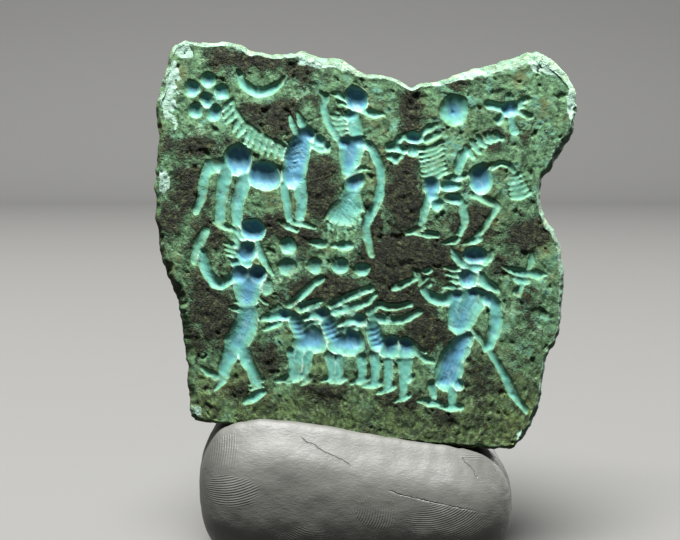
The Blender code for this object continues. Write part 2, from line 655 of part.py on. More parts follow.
def build_seat_cutter(slab):
    """The slab's outline and thickness with the clearance all round: it hollows the roll's seat."""
    outline, _ = slab_outline()
    grown = inset(outline, -SEAT_CLEARANCE)
    mesh = bmesh.new()
    front = add_ring(mesh, grown, np.full(len(grown), SEAT_CLEARANCE))
    back = add_ring(mesh, grown, np.full(len(grown), -SLAB_THICKNESS - SEAT_CLEARANCE))
    join_loops(mesh, front, back)
    mesh.faces.new(front)
    mesh.faces.new(back)
    cutter = finish_mesh(mesh, "seat_cutter", slab.data.materials[0])
    cutter.location = slab.location
    cutter.rotation_euler = slab.rotation_euler
    cutter.hide_render = True
    cutter.display_type = "WIRE"
    return cutter


def seat_slab(slab):
    """Stands the slab in the roll, its lower edge sunk by the seat's depth where it goes deepest."""
    outline, _ = slab_outline()
    over_clay = outline[np.abs(outline[:, 0] - CLAY_SHIFT) < CLAY_LENGTH * 0.45]
    low_edge = over_clay[over_clay[:, 1] < SLAB_HEIGHT / 2]
    foot = max(clay_top(x) - z * math.cos(SLAB_LEAN) for x, z in low_edge) - SEAT_DEPTH
    slab.location = Vector((0.0, -SLAB_FORWARD, foot)) * METRES_PER_MM


def cut_seat(clay, cutter):
    cut = clay.modifiers.new("seat", "BOOLEAN")
    cut.operation = "DIFFERENCE"
    cut.object = cutter
    cut.solver = "EXACT"


def centre_on_origin(solids, followers):
    """Moves everything so that the solids' box stands on the origin, at the middle of its base."""
    bpy.context.view_layer.update()
    corners = np.array([solid.matrix_world @ v.co for solid in solids for v in solid.data.vertices])
    low, high = corners.min(0), corners.max(0)
    shift = Vector((-(low[0] + high[0]) / 2, -(low[1] + high[1]) / 2, -low[2]))
    for item in (*solids, *followers):
        item.location = item.location + shift


def main():
    clear_scene()
    stone = make_material("green_stone", (0.10, 0.24, 0.17), 0.75)
    putty = make_material("grey_clay", (0.36, 0.36, 0.34), 0.62)
    slab = build_slab(stone)
    clay = build_clay(putty)
    seat_slab(slab)
    cutter = build_seat_cutter(slab)
    cut_seat(clay, cutter)
    centre_on_origin([slab, clay], [cutter])


main()
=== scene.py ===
"""Dresses the engraved green stone and the clay roll that holds it, and sets them in a pale studio.

Lengths are in millimetres until a mesh is finished, and in metres after that.
"""

import json
import logging
import math
from dataclasses import dataclass, field
from enum import Enum

import bpy
import numpy as np
from mathutils import Euler, Matrix, Vector, noise

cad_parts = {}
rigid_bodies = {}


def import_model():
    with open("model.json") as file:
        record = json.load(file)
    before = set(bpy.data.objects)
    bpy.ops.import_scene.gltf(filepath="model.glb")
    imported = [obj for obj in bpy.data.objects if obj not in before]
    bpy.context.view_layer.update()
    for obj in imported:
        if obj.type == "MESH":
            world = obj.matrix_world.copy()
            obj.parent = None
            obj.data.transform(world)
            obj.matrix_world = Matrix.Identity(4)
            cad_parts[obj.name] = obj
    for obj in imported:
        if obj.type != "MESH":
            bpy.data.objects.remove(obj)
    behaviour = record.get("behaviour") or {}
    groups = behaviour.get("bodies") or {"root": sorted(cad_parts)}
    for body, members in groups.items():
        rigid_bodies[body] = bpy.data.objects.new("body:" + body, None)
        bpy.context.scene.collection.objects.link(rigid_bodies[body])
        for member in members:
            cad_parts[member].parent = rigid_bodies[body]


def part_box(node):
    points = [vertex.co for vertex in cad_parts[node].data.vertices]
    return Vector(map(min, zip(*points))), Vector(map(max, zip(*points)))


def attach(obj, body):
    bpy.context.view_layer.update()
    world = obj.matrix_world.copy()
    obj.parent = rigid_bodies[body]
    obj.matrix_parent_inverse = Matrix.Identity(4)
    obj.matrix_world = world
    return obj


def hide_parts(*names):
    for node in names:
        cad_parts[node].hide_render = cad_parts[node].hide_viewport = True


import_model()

MM = 0.001
NOISE_ANGLES = (0.6, 0.45, 0.8)
NOISE_TURN = Euler(NOISE_ANGLES).to_matrix()
NOISE_FADING = 0.9
NOISE_FINENESS = 2.1
SKIN_VALUES = ("cut", "crust", "bare", "ridge", "side", "moss")
LOG = logging.getLogger("seal_stone")
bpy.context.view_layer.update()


class Tone(Enum):
    """The colours of the stone, the clay and the floor, as sRGB values from 0 to 255."""

    CRUST_DARK = (15, 15, 11)
    CRUST_BROWN = (44, 50, 33)
    CRUST_PALE = (98, 106, 72)
    CRUST_OLIVE = (82, 90, 56)
    GREEN_DEEP = (44, 66, 45)
    GREEN = (84, 120, 84)
    GREEN_PALE = (126, 158, 126)
    MOSS = (80, 98, 52)
    BLUE_GREEN = (82, 132, 116)
    CUT_SHALLOW = (96, 144, 112)
    CUT_MIDDLE = (88, 148, 134)
    CUT_DEEP = (74, 124, 146)
    # A pale turquoise for streaks and chips in the cuts, also used as a painted highlight on the ridges
    # inside the cuts.
    CUT_LIP = (158, 190, 177)
    BARE = (98, 140, 114)
    BARE_CREAM = (112, 130, 98)
    CLAY = (84, 84, 80)
    CLAY_DARK = (66, 66, 62)
    CLAY_PALE = (92, 92, 87)
    FLOOR = (214, 213, 209)

    def linear(self) -> tuple[float, float, float, float]:
        """Gives the colour as linear RGB with full alpha."""
        shares = (value / 255 for value in self.value)
        return (*(s / 12.92 if s <= 0.04045 else ((s + 0.055) / 1.055) ** 2.4 for s in shares), 1.0)


@dataclass(frozen=True)
class Roughness:
    """A fractal pattern about zero: the width of its largest bumps, its layers, its seed and its height."""

    size: float
    octaves: int
    seed: float
    height: float = 1.0

    def at(self, points: np.ndarray) -> np.ndarray:
        """The pattern's value at each point.

        Args:
            points: rows of two or three coordinates in millimetres.

        Returns:
            One value for each point, mostly within the height either way.
        """
        filled = np.column_stack([points, np.zeros(len(points))])[:, :3]
        rows = filled / self.size @ np.array(NOISE_TURN) + self.seed
        values = [noise.fractal(row, NOISE_FADING, NOISE_FINENESS, self.octaves) for row in rows]
        return self.height * np.array(values)


def smooth_step(values: np.ndarray, low: float, high: float) -> np.ndarray:
    """Rises smoothly from 0 at low to 1 at high."""
    share = np.clip((values - low) / (high - low), 0.0, 1.0)
    return share * share * (3.0 - 2.0 * share)


def spline(before: np.ndarray, start: np.ndarray, end: np.ndarray, after: np.ndarray,
           t: float) -> np.ndarray:
    """The point a share t of the way from start to end, on the smooth curve through all four points."""
    return 0.5 * (2 * start + (end - before) * t + (2 * before - 5 * start + 4 * end - after) * t ** 2
                  + (3 * start - before - 3 * end + after) * t ** 3)


def vertex_places(mesh: bpy.types.Mesh) -> np.ndarray:
    """The places of a mesh's vertices.

    Args:
        mesh: the mesh to read.

    Returns:
        One row of three coordinates for each vertex.
    """
    flat = np.empty(len(mesh.vertices) * 3, np.float32)
    mesh.vertices.foreach_get("co", flat)
    return flat.reshape(-1, 3).astype(float)


def blurred(grid: np.ndarray, cells: int) -> np.ndarray:
    """The grid averaged over a square of cells either side, twice.

    Args:
        grid: values on a regular grid.
        cells: how far the average reaches each way.

    Returns:
        A grid of the same shape.
    """
    for _ in range(2):
        for axis in (0, 1):
            padding = [(0, 0), (0, 0)]
            padding[axis] = (cells + 1, cells)
            total = np.cumsum(np.pad(grid, padding, mode="edge"), axis=axis)
            count = grid.shape[axis]
            upper = np.take(total, range(2 * cells + 1, 2 * cells + 1 + count), axis=axis)
            lower = np.take(total, range(count), axis=axis)
            grid = (upper - lower) / (2 * cells + 1)
    return grid


@dataclass(frozen=True)
class Hollow:
    """An oval bowl left by a ball drill. A scored one deepens whatever is cut already."""

    centre: tuple[float, float]
    wide: float
    tall: float
    turn: float
    depth: float
    scored: bool = False
    steepest: float = 0.92
    shape: float = 0.85

    def reach(self) -> tuple[np.ndarray, np.ndarray]:
        """The lowest and highest corner of the box round the bowl."""
        span = max(self.wide, self.tall)
        return np.array(self.centre) - span, np.array(self.centre) + span

    def depth_at(self, points: np.ndarray) -> np.ndarray:
        """How deep the bowl lies below the face.

        Args:
            points: rows of millimetres across and up.

        Returns:
            The depth at each point, 0 outside the bowl.
        """
        offset = points - self.centre
        cosine, sine = math.cos(self.turn), math.sin(self.turn)
        across = (offset[:, 0] * cosine + offset[:, 1] * sine) / self.wide
        up = (offset[:, 1] * cosine - offset[:, 0] * sine) / self.tall
        depth = min(self.depth, self.steepest * min(self.wide, self.tall))
        return depth * np.clip(1.0 - across ** 2 - up ** 2, 0.0, 1.0) ** self.shape


@dataclass(frozen=True)
class Groove:
    """A round-bottomed groove left by a wheel, through rows of across, up and half width.

    A scored one deepens whatever is cut already.
    """

    path: tuple[tuple[float, float, float], ...]
    depth: float
    scored: bool = False
    steepest: float = 0.66
    shape: float = 0.95

    def reach(self) -> tuple[np.ndarray, np.ndarray]:
        """The lowest and highest corner of the box round the groove."""
        rows = np.array(self.path)
        return (rows[:, :2] - rows[:, 2:]).min(0), (rows[:, :2] + rows[:, 2:]).max(0)

    def depth_at(self, points: np.ndarray) -> np.ndarray:
        """How deep the groove lies below the face.

        Args:
            points: rows of millimetres across and up.

        Returns:
            The depth at each point, 0 outside the groove.
        """
        rows = np.array(self.path)
        deepest = np.zeros(len(points))
        for start, end in zip(rows[:-1], rows[1:]):
            along = end[:2] - start[:2]
            share = np.clip((points - start[:2]) @ along / (along @ along), 0.0, 1.0)
            gap = np.linalg.norm(points - start[:2] - share[:, None] * along, axis=1)
            half = start[2] + share * (end[2] - start[2])
            depth = np.minimum(self.depth, self.steepest * half)
            deepest = np.maximum(deepest, depth * np.clip(1.0 - (gap / half) ** 2, 0.0, 1.0) ** self.shape)
        return deepest


@dataclass
class Engraver:
    """Cuts a figure. Its places are in hundredths of a 20 mm module, from the figure's own origin.

    A figure with much to cut is an engraver itself. What has been cut so far is in made.
    """

    across: float
    up: float
    module: float = 20.0
    spreading: float = 1.05
    made: list[Hollow | Groove] = field(default_factory=list)

    def place(self, x: float, y: float) -> tuple[float, float]:
        """A point of the figure as millimetres across and up the face."""
        step = self.module / 100.0
        return self.across + x * step, self.up + y * step

    def hollow(self, x: float, y: float, wide: float, tall: float, depth: float, turn: float = 0.0) -> None:
        """Drills an oval bowl.

        Args:
            x: its centre across.
            y: its centre up.
            wide: half its width.
            tall: half its height.
            depth: its depth in millimetres.
            turn: how far it is turned anticlockwise, in degrees.
        """
        step = self.module / 100.0
        self.made.append(Hollow(self.place(x, y), wide * step, tall * step, math.radians(turn), depth))

    def groove(self, depth: float, *rows: tuple[float, float, float], scored: bool = False) -> None:
        """Grinds a groove.

        Args:
            depth: its depth in millimetres.
            rows: across, up and half width.
            scored: whether it deepens what is cut already.
        """
        step = self.module / 100.0
        extra = 0.0 if scored else self.spreading
        path = tuple((*self.place(x, y), (half + extra) * step) for x, y, half in rows)
        self.made.append(Groove(path, depth, scored))

    def score(self, depth: float, *rows: tuple[float, float, float]) -> None:
        """Scores a fine line into whatever is cut already, through rows of across, up and half width."""
        self.groove(depth, *rows, scored=True)

    def score_pit(self, x: float, y: float, radius: float, depth: float) -> None:
        """Pricks a small round pit into whatever is cut already."""
        step = self.module / 100.0
        self.made.append(Hollow(self.place(x, y), radius * step, radius * step, 0.0, depth, scored=True))

    def score_ring(self, x: float, y: float, radius: float, half: float, depth: float) -> None:
        """Scores a circle into whatever is cut already."""
        turns = np.radians(np.arange(0, 361, 30))
        self.score(depth, *((x + radius * math.cos(a), y + radius * math.sin(a), half) for a in turns))

    def curve(self, depth: float, *rows: tuple[float, float, float], pieces: int = 6) -> None:
        """Grinds a smooth curved groove through the rows.

        Args:
            depth: its depth in millimetres.
            rows: across, up and half width.
            pieces: how many straight pieces stand for the curve between two rows.
        """
        table = np.array([rows[0], *rows, rows[-1]], float)
        smooth = []
        for four in zip(table[:-3], table[1:-2], table[2:-1], table[3:]):
            smooth += [spline(*four, t) for t in np.arange(pieces) / pieces]
        smooth.append(table[-1])
        self.groove(depth, *(tuple(row) for row in smooth))

    def feathers(self, edge: list[tuple[float, float]], length: float, count: int, half: float,
                 depth: float) -> None:
        """Grinds lens-shaped wing feathers side by side, nearly square to the wing's leading edge.

        Args:
            edge: the points that the leading edge runs through.
            length: the longest feather's length.
            count: how many feathers there are.
            half: half a feather's width.
            depth: their depth in millimetres.
        """
        rows = np.array(edge, float)
        for i, at in enumerate(np.linspace(0.0, len(rows) - 1.0, count)):
            root = np.array([np.interp(at, range(len(rows)), column) for column in rows.T])
            near = min(int(at), len(rows) - 2)
            along = (rows[near + 1] - rows[near]) / np.linalg.norm(rows[near + 1] - rows[near])
            down = np.array([along[1], -along[0]]) + 0.35 * along
            reach = length * (0.75 + 0.25 * math.sin(math.pi * i / (count - 1)))
            middle, tip = root + down * reach * 0.55, root + down * reach
            self.groove(depth, (*root, half * 0.8), (*middle, half), (*tip, half * 0.6))

    def limb(self, depth: float, *rows: tuple[float, float, float]) -> None:
        """Grinds a leg or an arm as a curve, with a slightly swollen joint at each inner row.

        Args:
            depth: its depth in millimetres.
            rows: across, up and half width.
        """
        self.curve(depth, *rows, pieces=4)
        for x, y, half in rows[1:-1]:
            self.hollow(x, y, half * 1.08, half * 1.3, depth * 0.95)

    def foot(self, heel: tuple[float, float], toe: tuple[float, float], half: float = 3.6,
             depth: float = 0.75) -> None:
        """Grinds a foot or a hoof from its heel to its pointed toe."""
        ball = (heel[0] * 0.6 + toe[0] * 0.4, heel[1] * 0.6 + toe[1] * 0.4)
        self.groove(depth, (*heel, half * 0.8), (*ball, half), (*toe, half * 0.4))


@dataclass
class SkySigns:
    """The cups, the moon, the disc and the star along the top of the face, and the row of cups below."""

    cup_depth: float = 1.15
    cup_radius: float = 8.2

    def cuts(self) -> list[Hollow | Groove]:
        """All the signs' cuts."""
        return self.rosette() + self.moon() + self.disc() + self.star() + self.row()

    def rosette(self) -> list[Hollow | Groove]:
        """Five cups round a sixth."""
        tool = Engraver(-32.4, 70.4)
        for x, y, scale in [(4, 18, 1.0), (-12, 9, 1.05), (17, 6, 0.95), (2, -2, 0.9), (-9, -13, 0.95),
                            (10, -15, 1.05)]:
            tool.hollow(x, y, self.cup_radius * scale, self.cup_radius * scale * 1.06, self.cup_depth)
        return tool.made

    def moon(self) -> list[Hollow | Groove]:
        """A crescent that lies on its back, with a pit at its left horn."""
        tool = Engraver(-21.0, 75.0)
        radius, steps = 23.0, 14
        rows = []
        for i in range(steps + 1):
            angle = math.radians(-168 + 146 * i / steps)
            swell = 1.2 + 4.0 * math.sin(math.pi * i / steps) ** 0.8
            rows.append((radius * 1.04 * math.cos(angle), 6 + radius * math.sin(angle), swell))
        tool.groove(0.7, *rows)
        tool.hollow(-22.5, 1, 4.0, 5.4, 0.7, turn=30)
        return tool.made

    def disc(self) -> list[Hollow | Groove]:
        """A wide flat bowl with a pip at its middle."""
        tool = Engraver(17.5, 68.0)
        tool.hollow(0, 0, 15.6, 17.0, 1.25)
        tool.score_pit(-1.5, -2, 2.4, 0.35)
        return tool.made

    def star(self) -> list[Hollow | Groove]:
        """A drilled core with uneven rays."""
        tool = Engraver(28.7, 68.1)
        tool.hollow(0, 0, 9.6, 9.4, 1.5)
        for angle, length, half in [(168, 26, 5.0), (222, 21, 3.6), (280, 26, 4.4), (338, 24, 2.8),
                                    (12, 14, 2.2), (32, 22, 3.2), (98, 16, 3.4)]:
            ray = (math.cos(math.radians(angle)), math.sin(math.radians(angle)))
            tool.groove(0.95, (ray[0] * 4, ray[1] * 4, half * 0.7),
                        (ray[0] * (length - half), ray[1] * (length - half), half))
        return tool.made

    def row(self) -> list[Hollow | Groove]:
        """A row of four cups with a fifth above its left end."""
        tool = Engraver(-10.4, 36.8)
        for x, y, wide, tall in [(-26.5, 20, 9, 9), (-27.5, -1, 9.6, 9.4), (0, 0, 7.8, 9.2),
                                 (25.5, 0, 9.2, 9.2), (48, -4, 8.2, 7.4)]:
            tool.hollow(x, y, wide, tall, 0.9)
        return tool.made


@dataclass
class WingedHorse(Engraver):
    """The horse at the upper left, which walks to the right with its wing raised."""

    across: float = -23.2
    up: float = 50.4

    def cuts(self) -> list[Hollow | Groove]:
        """All the horse's cuts."""
        self.body()
        self.head()
        self.legs()
        self.wing()
        return self.made

    def body(self) -> None:
        """The rump, the belly, the chest and the maned neck."""
        self.hollow(-12, 38, 14.5, 17, 2.2, turn=8)
        self.groove(0.7, (-24, 34, 7), (-38, 32, 7), (-44, 26, 5))
        self.hollow(13, 22, 19, 15.5, 2.2, turn=-16)
        self.groove(1.7, (43, 21, 12), (45, 36, 12.5), (49, 50, 11), (53, 62, 8))
        for i in range(6):
            rise = 60 - 4.4 * i
            self.score(0.6, (34 + 0.6 * i, rise - 3, 1.5), (40, rise - 8, 2.0), (48, rise - 6, 1.9),
                       (55 - i, rise - 1, 1.2))

    def head(self) -> None:
        """The long head, with open mouth and pricked ears."""
        self.hollow(56, 64, 9.5, 8.5, 1.5, turn=-20)
        self.hollow(67, 57, 8.5, 6, 1.2, turn=-28)
        self.groove(0.8, (60, 53, 3.4), (72, 48, 3.0), (79, 47, 2.0))
        self.hollow(76, 51, 5, 4.4, 0.95)
        self.score_pit(61, 63, 2.2, 0.5)
        self.groove(0.75, (39, 81, 1.6), (42, 73, 3.4), (46, 65, 3))
        self.groove(0.85, (47, 85, 1.8), (51, 76, 4.2), (55, 67, 4))

    def legs(self) -> None:
        """Four legs with their hooves, and the hanging tail."""
        self.limb(0.85, (-25, 26, 7.5), (-29, 4, 6.2), (-31, -22, 5))
        self.limb(0.9, (-6, 20, 8), (-12, -2, 6.2), (-14, -24, 5))
        self.limb(0.7, (34, 13, 4.6), (36, -4, 4), (39, -20, 3.6))
        self.limb(0.85, (49, 17, 7), (51, -2, 6), (49, -20, 4.8))
        self.foot((-21, -31), (-37, -24), half=3.2)
        self.foot((-8, -29), (-16, -26), half=2.8)
        self.foot((45, -32), (28, -23), half=3.2)
        self.foot((42, -24), (64, -30), half=3.2)
        self.curve(0.6, (-42, 34, 4), (-47, 18, 4.6), (-48, 2, 4.6), (-55, -14, 3))

    def wing(self) -> None:
        """The raised wing: a thin leading edge with lens-shaped feathers below it."""
        edge = [(-20, 95), (-14, 83), (-4, 72), (6, 64), (18, 57), (32, 50)]
        self.curve(0.45, *((x + 1.5, y + 1.5, 1.8) for x, y in edge))
        self.feathers(edge, length=14, count=12, half=2.9, depth=1.0)


@dataclass
class WingedBull(Engraver):
    """The worn beast at the upper right, which faces left, with ringed neck, wing and tail."""

    across: float = 16.8
    up: float = 50.4

    def cuts(self) -> list[Hollow | Groove]:
        """All the beast's cuts."""
        self.head()
        self.body()
        self.tail_and_wing()
        self.legs()
        return self.made

    def head(self) -> None:
        """The blunt head, its ears and the neck with its stacked rings."""
        self.hollow(-36, 60, 10, 7, 1.5, turn=-8)
        self.hollow(-38, 47, 6.5, 6.5, 0.8)
        self.groove(0.6, (-55, 54, 2.4), (-50, 60, 3), (-45, 62, 2.4))
        self.groove(0.9, (-62, 50, 4), (-54, 51, 5), (-47, 48, 4))
        self.groove(0.8, (-61, 41, 3.4), (-55, 39, 4.4), (-50, 42, 3))
        self.groove(0.75, (-29, 63, 2.4), (-22, 69, 3.2), (-16, 72, 2))
        self.groove(0.75, (-25, 57, 2.4), (-17, 61, 3), (-11, 64, 2))
        for i in range(7):
            rise = 50 - 4.9 * i
            self.curve(1.1, (-32 + i * 0.9, rise - 2, 1.8), (-21 + i * 0.4, rise - 1, 2.6),
                       (-9 + i * 0.6, rise + 5, 1.8), pieces=3)

    def body(self) -> None:
        """The chest, the belly and the rump, each a bowl with a deeper drilling in it."""
        self.hollow(-19, 12, 10, 11, 1.5)
        self.hollow(-19, 3, 8, 8, 1.2)
        self.hollow(0, 12, 12, 6.4, 1.6)
        self.hollow(3, -2, 11, 6, 1.0, turn=-8)
        self.hollow(-14, -7, 7, 7, 1.0)
        self.hollow(30.5, 19, 13, 15.5, 1.7)
        self.hollow(33, 29, 7, 6, 2.2)
        self.groove(0.4, (22, 4, 4), (38, -4, 4.6), (46, -8, 3))

    def tail_and_wing(self) -> None:
        """The arched tail with its ribs, and the wing that rises from the back."""
        self.curve(0.7, (41, 30, 2), (49, 34.5, 2.6), (58, 32, 2.8), (63, 26, 2.4))
        for i in range(5):
            self.groove(0.9, (57 + 1.2 * i, 20 - 4.8 * i, 2.0), (63 + 1.6 * i, 20.5 - 4.7 * i, 3.0),
                        (70 + 2.4 * i, 23.5 - 4.8 * i, 2.0))
        self.curve(0.75, (-5, 19, 1.8), (6, 20, 3.4), (15, 22.5, 2.6))
        self.curve(0.65, (8, 26, 3), (7, 32, 5), (12, 41, 5.4), (16, 47, 4))
        for i, (x, y) in enumerate([(15, 51), (21, 56), (27, 60), (33, 63), (38, 64), (44, 65)]):
            self.groove(0.95, (x, y, 2.2), (x + 4 - 0.3 * i, y - 5, 3.2),
                        (x + 8 - 0.2 * i, y - 11 + 1.0 * i, 2.2))

    def legs(self) -> None:
        """The worn legs and hooves."""
        self.limb(0.55, (-22, 0, 4.6), (-26, -12, 4), (-29, -25, 3.2))
        self.limb(0.5, (12, -8, 5), (14, -24, 4), (9, -36, 3))
        self.limb(0.45, (46, -10, 3.4), (36, -26, 3.2), (26, -38, 3))
        self.foot((-27, -30), (-45, -36), half=3.2)
        self.foot((-13, -37), (-36, -36), half=3.0)
        self.foot((8, -41), (-8, -46), half=3.2)
        self.foot((30, -41), (14, -46), half=3.4)


@dataclass
class RobedMan(Engraver):
    """The man at the top middle, in a flaring fringed robe, with one hand raised before him."""

    across: float = -3.2
    up: float = 50.4

    def cuts(self) -> list[Hollow | Groove]:
        """All the man's cuts."""
        self.head()
        self.arms()
        self.robe()
        return self.made

    def head(self) -> None:
        """The tall cap with its brim and ribbon, the cheek and the combed beard."""
        self.hollow(5.5, 99, 11, 14.5, 2.0, turn=32)
        self.groove(0.6, (-19, 104, 1.4), (-12, 103, 2.8), (-4, 99, 2.6))
        self.groove(0.6, (-13, 96, 1.4), (-6, 94, 2.6), (2, 92, 2.0))
        self.curve(0.7, (8, 90, 2.4), (18, 85, 3.4), (26, 83, 2.8), (33, 83, 1.4))
        self.hollow(1, 82, 8.5, 7.4, 1.2)
        self.groove(0.8, (4, 76, 7), (5, 66, 7.5))
        for i in range(5):
            self.curve(0.85, (-19.5 + 0.5 * i, 83 - 5.6 * i, 1.2), (-13, 80 - 5.0 * i, 2.6),
                       (-5, 81 - 4.9 * i, 1.8), pieces=3)

    def arms(self) -> None:
        """The raised arm, and the other with its long sleeve."""
        self.curve(0.65, (-25, 101, 3), (-27, 90, 3.8), (-24, 78, 4), (-18, 68, 3.8), (-11, 59, 3.4))
        self.groove(0.5, (-29, 104, 1.6), (-25, 96, 2.4))
        self.curve(0.75, (13, 55, 4.4), (23, 46, 4.4), (29, 32, 4.6), (30, 12, 4.4), (26, -6, 4.6),
                   (19, -18, 4.4), (15, -30, 4), (18, -44, 3.6), (21, -57, 2.6))
        self.score(0.3, (24, 40, 0.9), (31, 20, 1.1), (26, -8, 1.1), (17, -28, 0.9))

    def robe(self) -> None:
        """The shoulders, the chest, the hips and the pleated skirt with its fringe, and the feet."""
        self.hollow(-6, 55.5, 7.4, 7, 2.6)
        self.hollow(7.5, 56.5, 8, 7.4, 2.6)
        self.groove(1.25, (1, 50, 12.5), (0, 40, 11), (-3, 28, 7))
        self.curve(0.6, (-6, 20, 1.6), (3, 25, 2.4), (12, 29, 2.2), (18, 28, 1.2))
        self.hollow(4, 15, 12.5, 9, 1.5, turn=34)
        self.curve(0.85, (2, 8, 9), (-2, -4, 11), (-6, -15, 13.5))
        self.hollow(-15, -17, 9, 8, 0.7, turn=35)
        self.hollow(6, -12, 7, 8, 0.7, turn=-20)
        hem = [(-25, -20), (-22, -25), (-18, -30), (-12, -27), (-6, -34), (0, -27), (5, -31), (9, -20),
               (13, -13)]
        for i, (x, y) in enumerate(hem):
            start = (-5 + 1.7 * i, 4 + 0.5 * i)
            bend = (start[0] * 0.5 + x * 0.5 - 0.5, start[1] * 0.5 + y * 0.5)
            self.curve(0.8 + 0.12 * (i % 2), (*start, 1.0), (*bend, 2.0), (x, y, 1.4), pieces=4)
            self.score(0.25, (*start, 0.8), (*bend, 0.9), (x, y, 0.7))
        for knot, tip in [((-21, -26), (-24, -38)), ((-13, -30), (-13, -42)), ((-4, -34), (-3, -43))]:
            self.groove(0.45, (*knot, 1.6), (*tip, 0.8))
        self.foot((-26, -46), (-41, -44), half=4.0)
        self.foot((0, -48), (-18, -48), half=4.4)
        self.score(0.25, (-38, -42, 0.8), (-27, -43, 0.9))
        self.score(0.25, (-16, -45, 0.8), (0, -45, 0.9))


@dataclass
class ClubMan(Engraver):
    """The man at the left in a bulbous cap, belted, with a club raised before him."""

    across: float = -23.2
    up: float = 30.4

    def cuts(self) -> list[Hollow | Groove]:
        """All the man's cuts."""
        self.head()
        self.trunk()
        self.arms()
        self.legs()
        return self.made

    def head(self) -> None:
        """The bulbous cap with its knot, the cheek, the combed beard and the ribbon behind."""
        self.hollow(2, 68, 13.5, 12, 2.3, turn=-10)
        self.hollow(-14, 78, 3.4, 3, 0.9)
        self.groove(0.6, (-20, 70, 2), (-14, 66, 3.4), (-8, 60, 3.4))
        self.groove(0.5, (-16, 62, 2.2), (-13, 56, 3), (-10, 52, 3))
        self.hollow(-4.5, 45, 11.4, 11.4, 1.6)
        self.score_ring(-5, 45, 6.2, 1.1, 0.35)
        for i in range(4):
            self.groove(0.85, (-26 + 1.4 * i, 54 - 5.4 * i, 1.2), (-19 + 1.2 * i, 52.5 - 5.2 * i, 2.8),
                        (-12 + 1.0 * i, 51.5 - 5 * i, 2.0))
        self.hollow(-14, 35, 6, 5.6, 1.0)
        self.hollow(-4, 35, 7, 4.8, 1.0)
        self.curve(0.65, (5, 57, 2.4), (9, 46, 4), (14, 36, 3.2), (22, 24, 1.4))

    def trunk(self) -> None:
        """The two shoulder bowls with a ridge between, the chest and the belt."""
        self.hollow(-11, 23, 9.4, 10.5, 2.3, turn=-25)
        self.hollow(6.5, 23, 10.6, 10.5, 2.3, turn=25)
        self.groove(1.3, (-2.5, 14, 14.5), (-3, 7, 13.5), (-3.5, -1, 10.5))
        self.curve(0.6, (-21, -9, 1.4), (-7, -11.5, 3.2), (8, -9.5, 1.4))
        self.curve(0.35, (-16, -3.5, 0.9), (-4, -6, 1.3), (9, -4, 0.9))

    def arms(self) -> None:
        """The raised arm with its club, and the other arm, faint behind."""
        self.curve(0.95, (-16, 21, 5.2), (-29, 14, 5.4), (-40, 20, 5.8), (-46, 33, 5.2), (-48, 46, 3.8))
        self.score_pit(-48, 46, 1.8, 0.4)
        self.curve(0.45, (-44, 67, 4.4), (-53, 52, 5.4), (-57, 36, 3.4))
        self.hollow(17, 10, 6.4, 9.4, 0.5, turn=-15)
        self.groove(0.3, (9, 0, 1.2), (17, -6, 1.2))

    def legs(self) -> None:
        """The hips and the two legs in stride, with boots."""
        self.curve(1.05, (-2, -15, 10.5), (-6, -30, 12), (-13, -43, 12.5))
        self.limb(0.9, (-14, -42, 11), (-21, -58, 7.8), (-27, -73, 5.8))
        self.limb(0.9, (-11, -48, 7.6), (-4, -62, 6.4), (6, -84, 5))
        for i in range(4):
            self.score(0.2, (-8 + 3 * i, -18, 0.7), (-13 + 3 * i, -34, 0.9), (-20 + 3.4 * i, -48, 0.8))
        self.groove(0.45, (-50, -70, 1.2), (-42, -75, 2.6), (-34, -78, 2.6))
        self.groove(0.65, (-24, -77, 3.2), (-36, -79, 3.0))
        self.groove(0.6, (-28, -82, 4.4), (-36, -92, 1.6))
        self.groove(0.35, (0, -86, 1.8), (13, -83, 1.6))
        self.groove(0.4, (0, -90, 1.6), (12, -88, 1.8))
        self.foot((11, -95), (-6, -105), half=5.2)


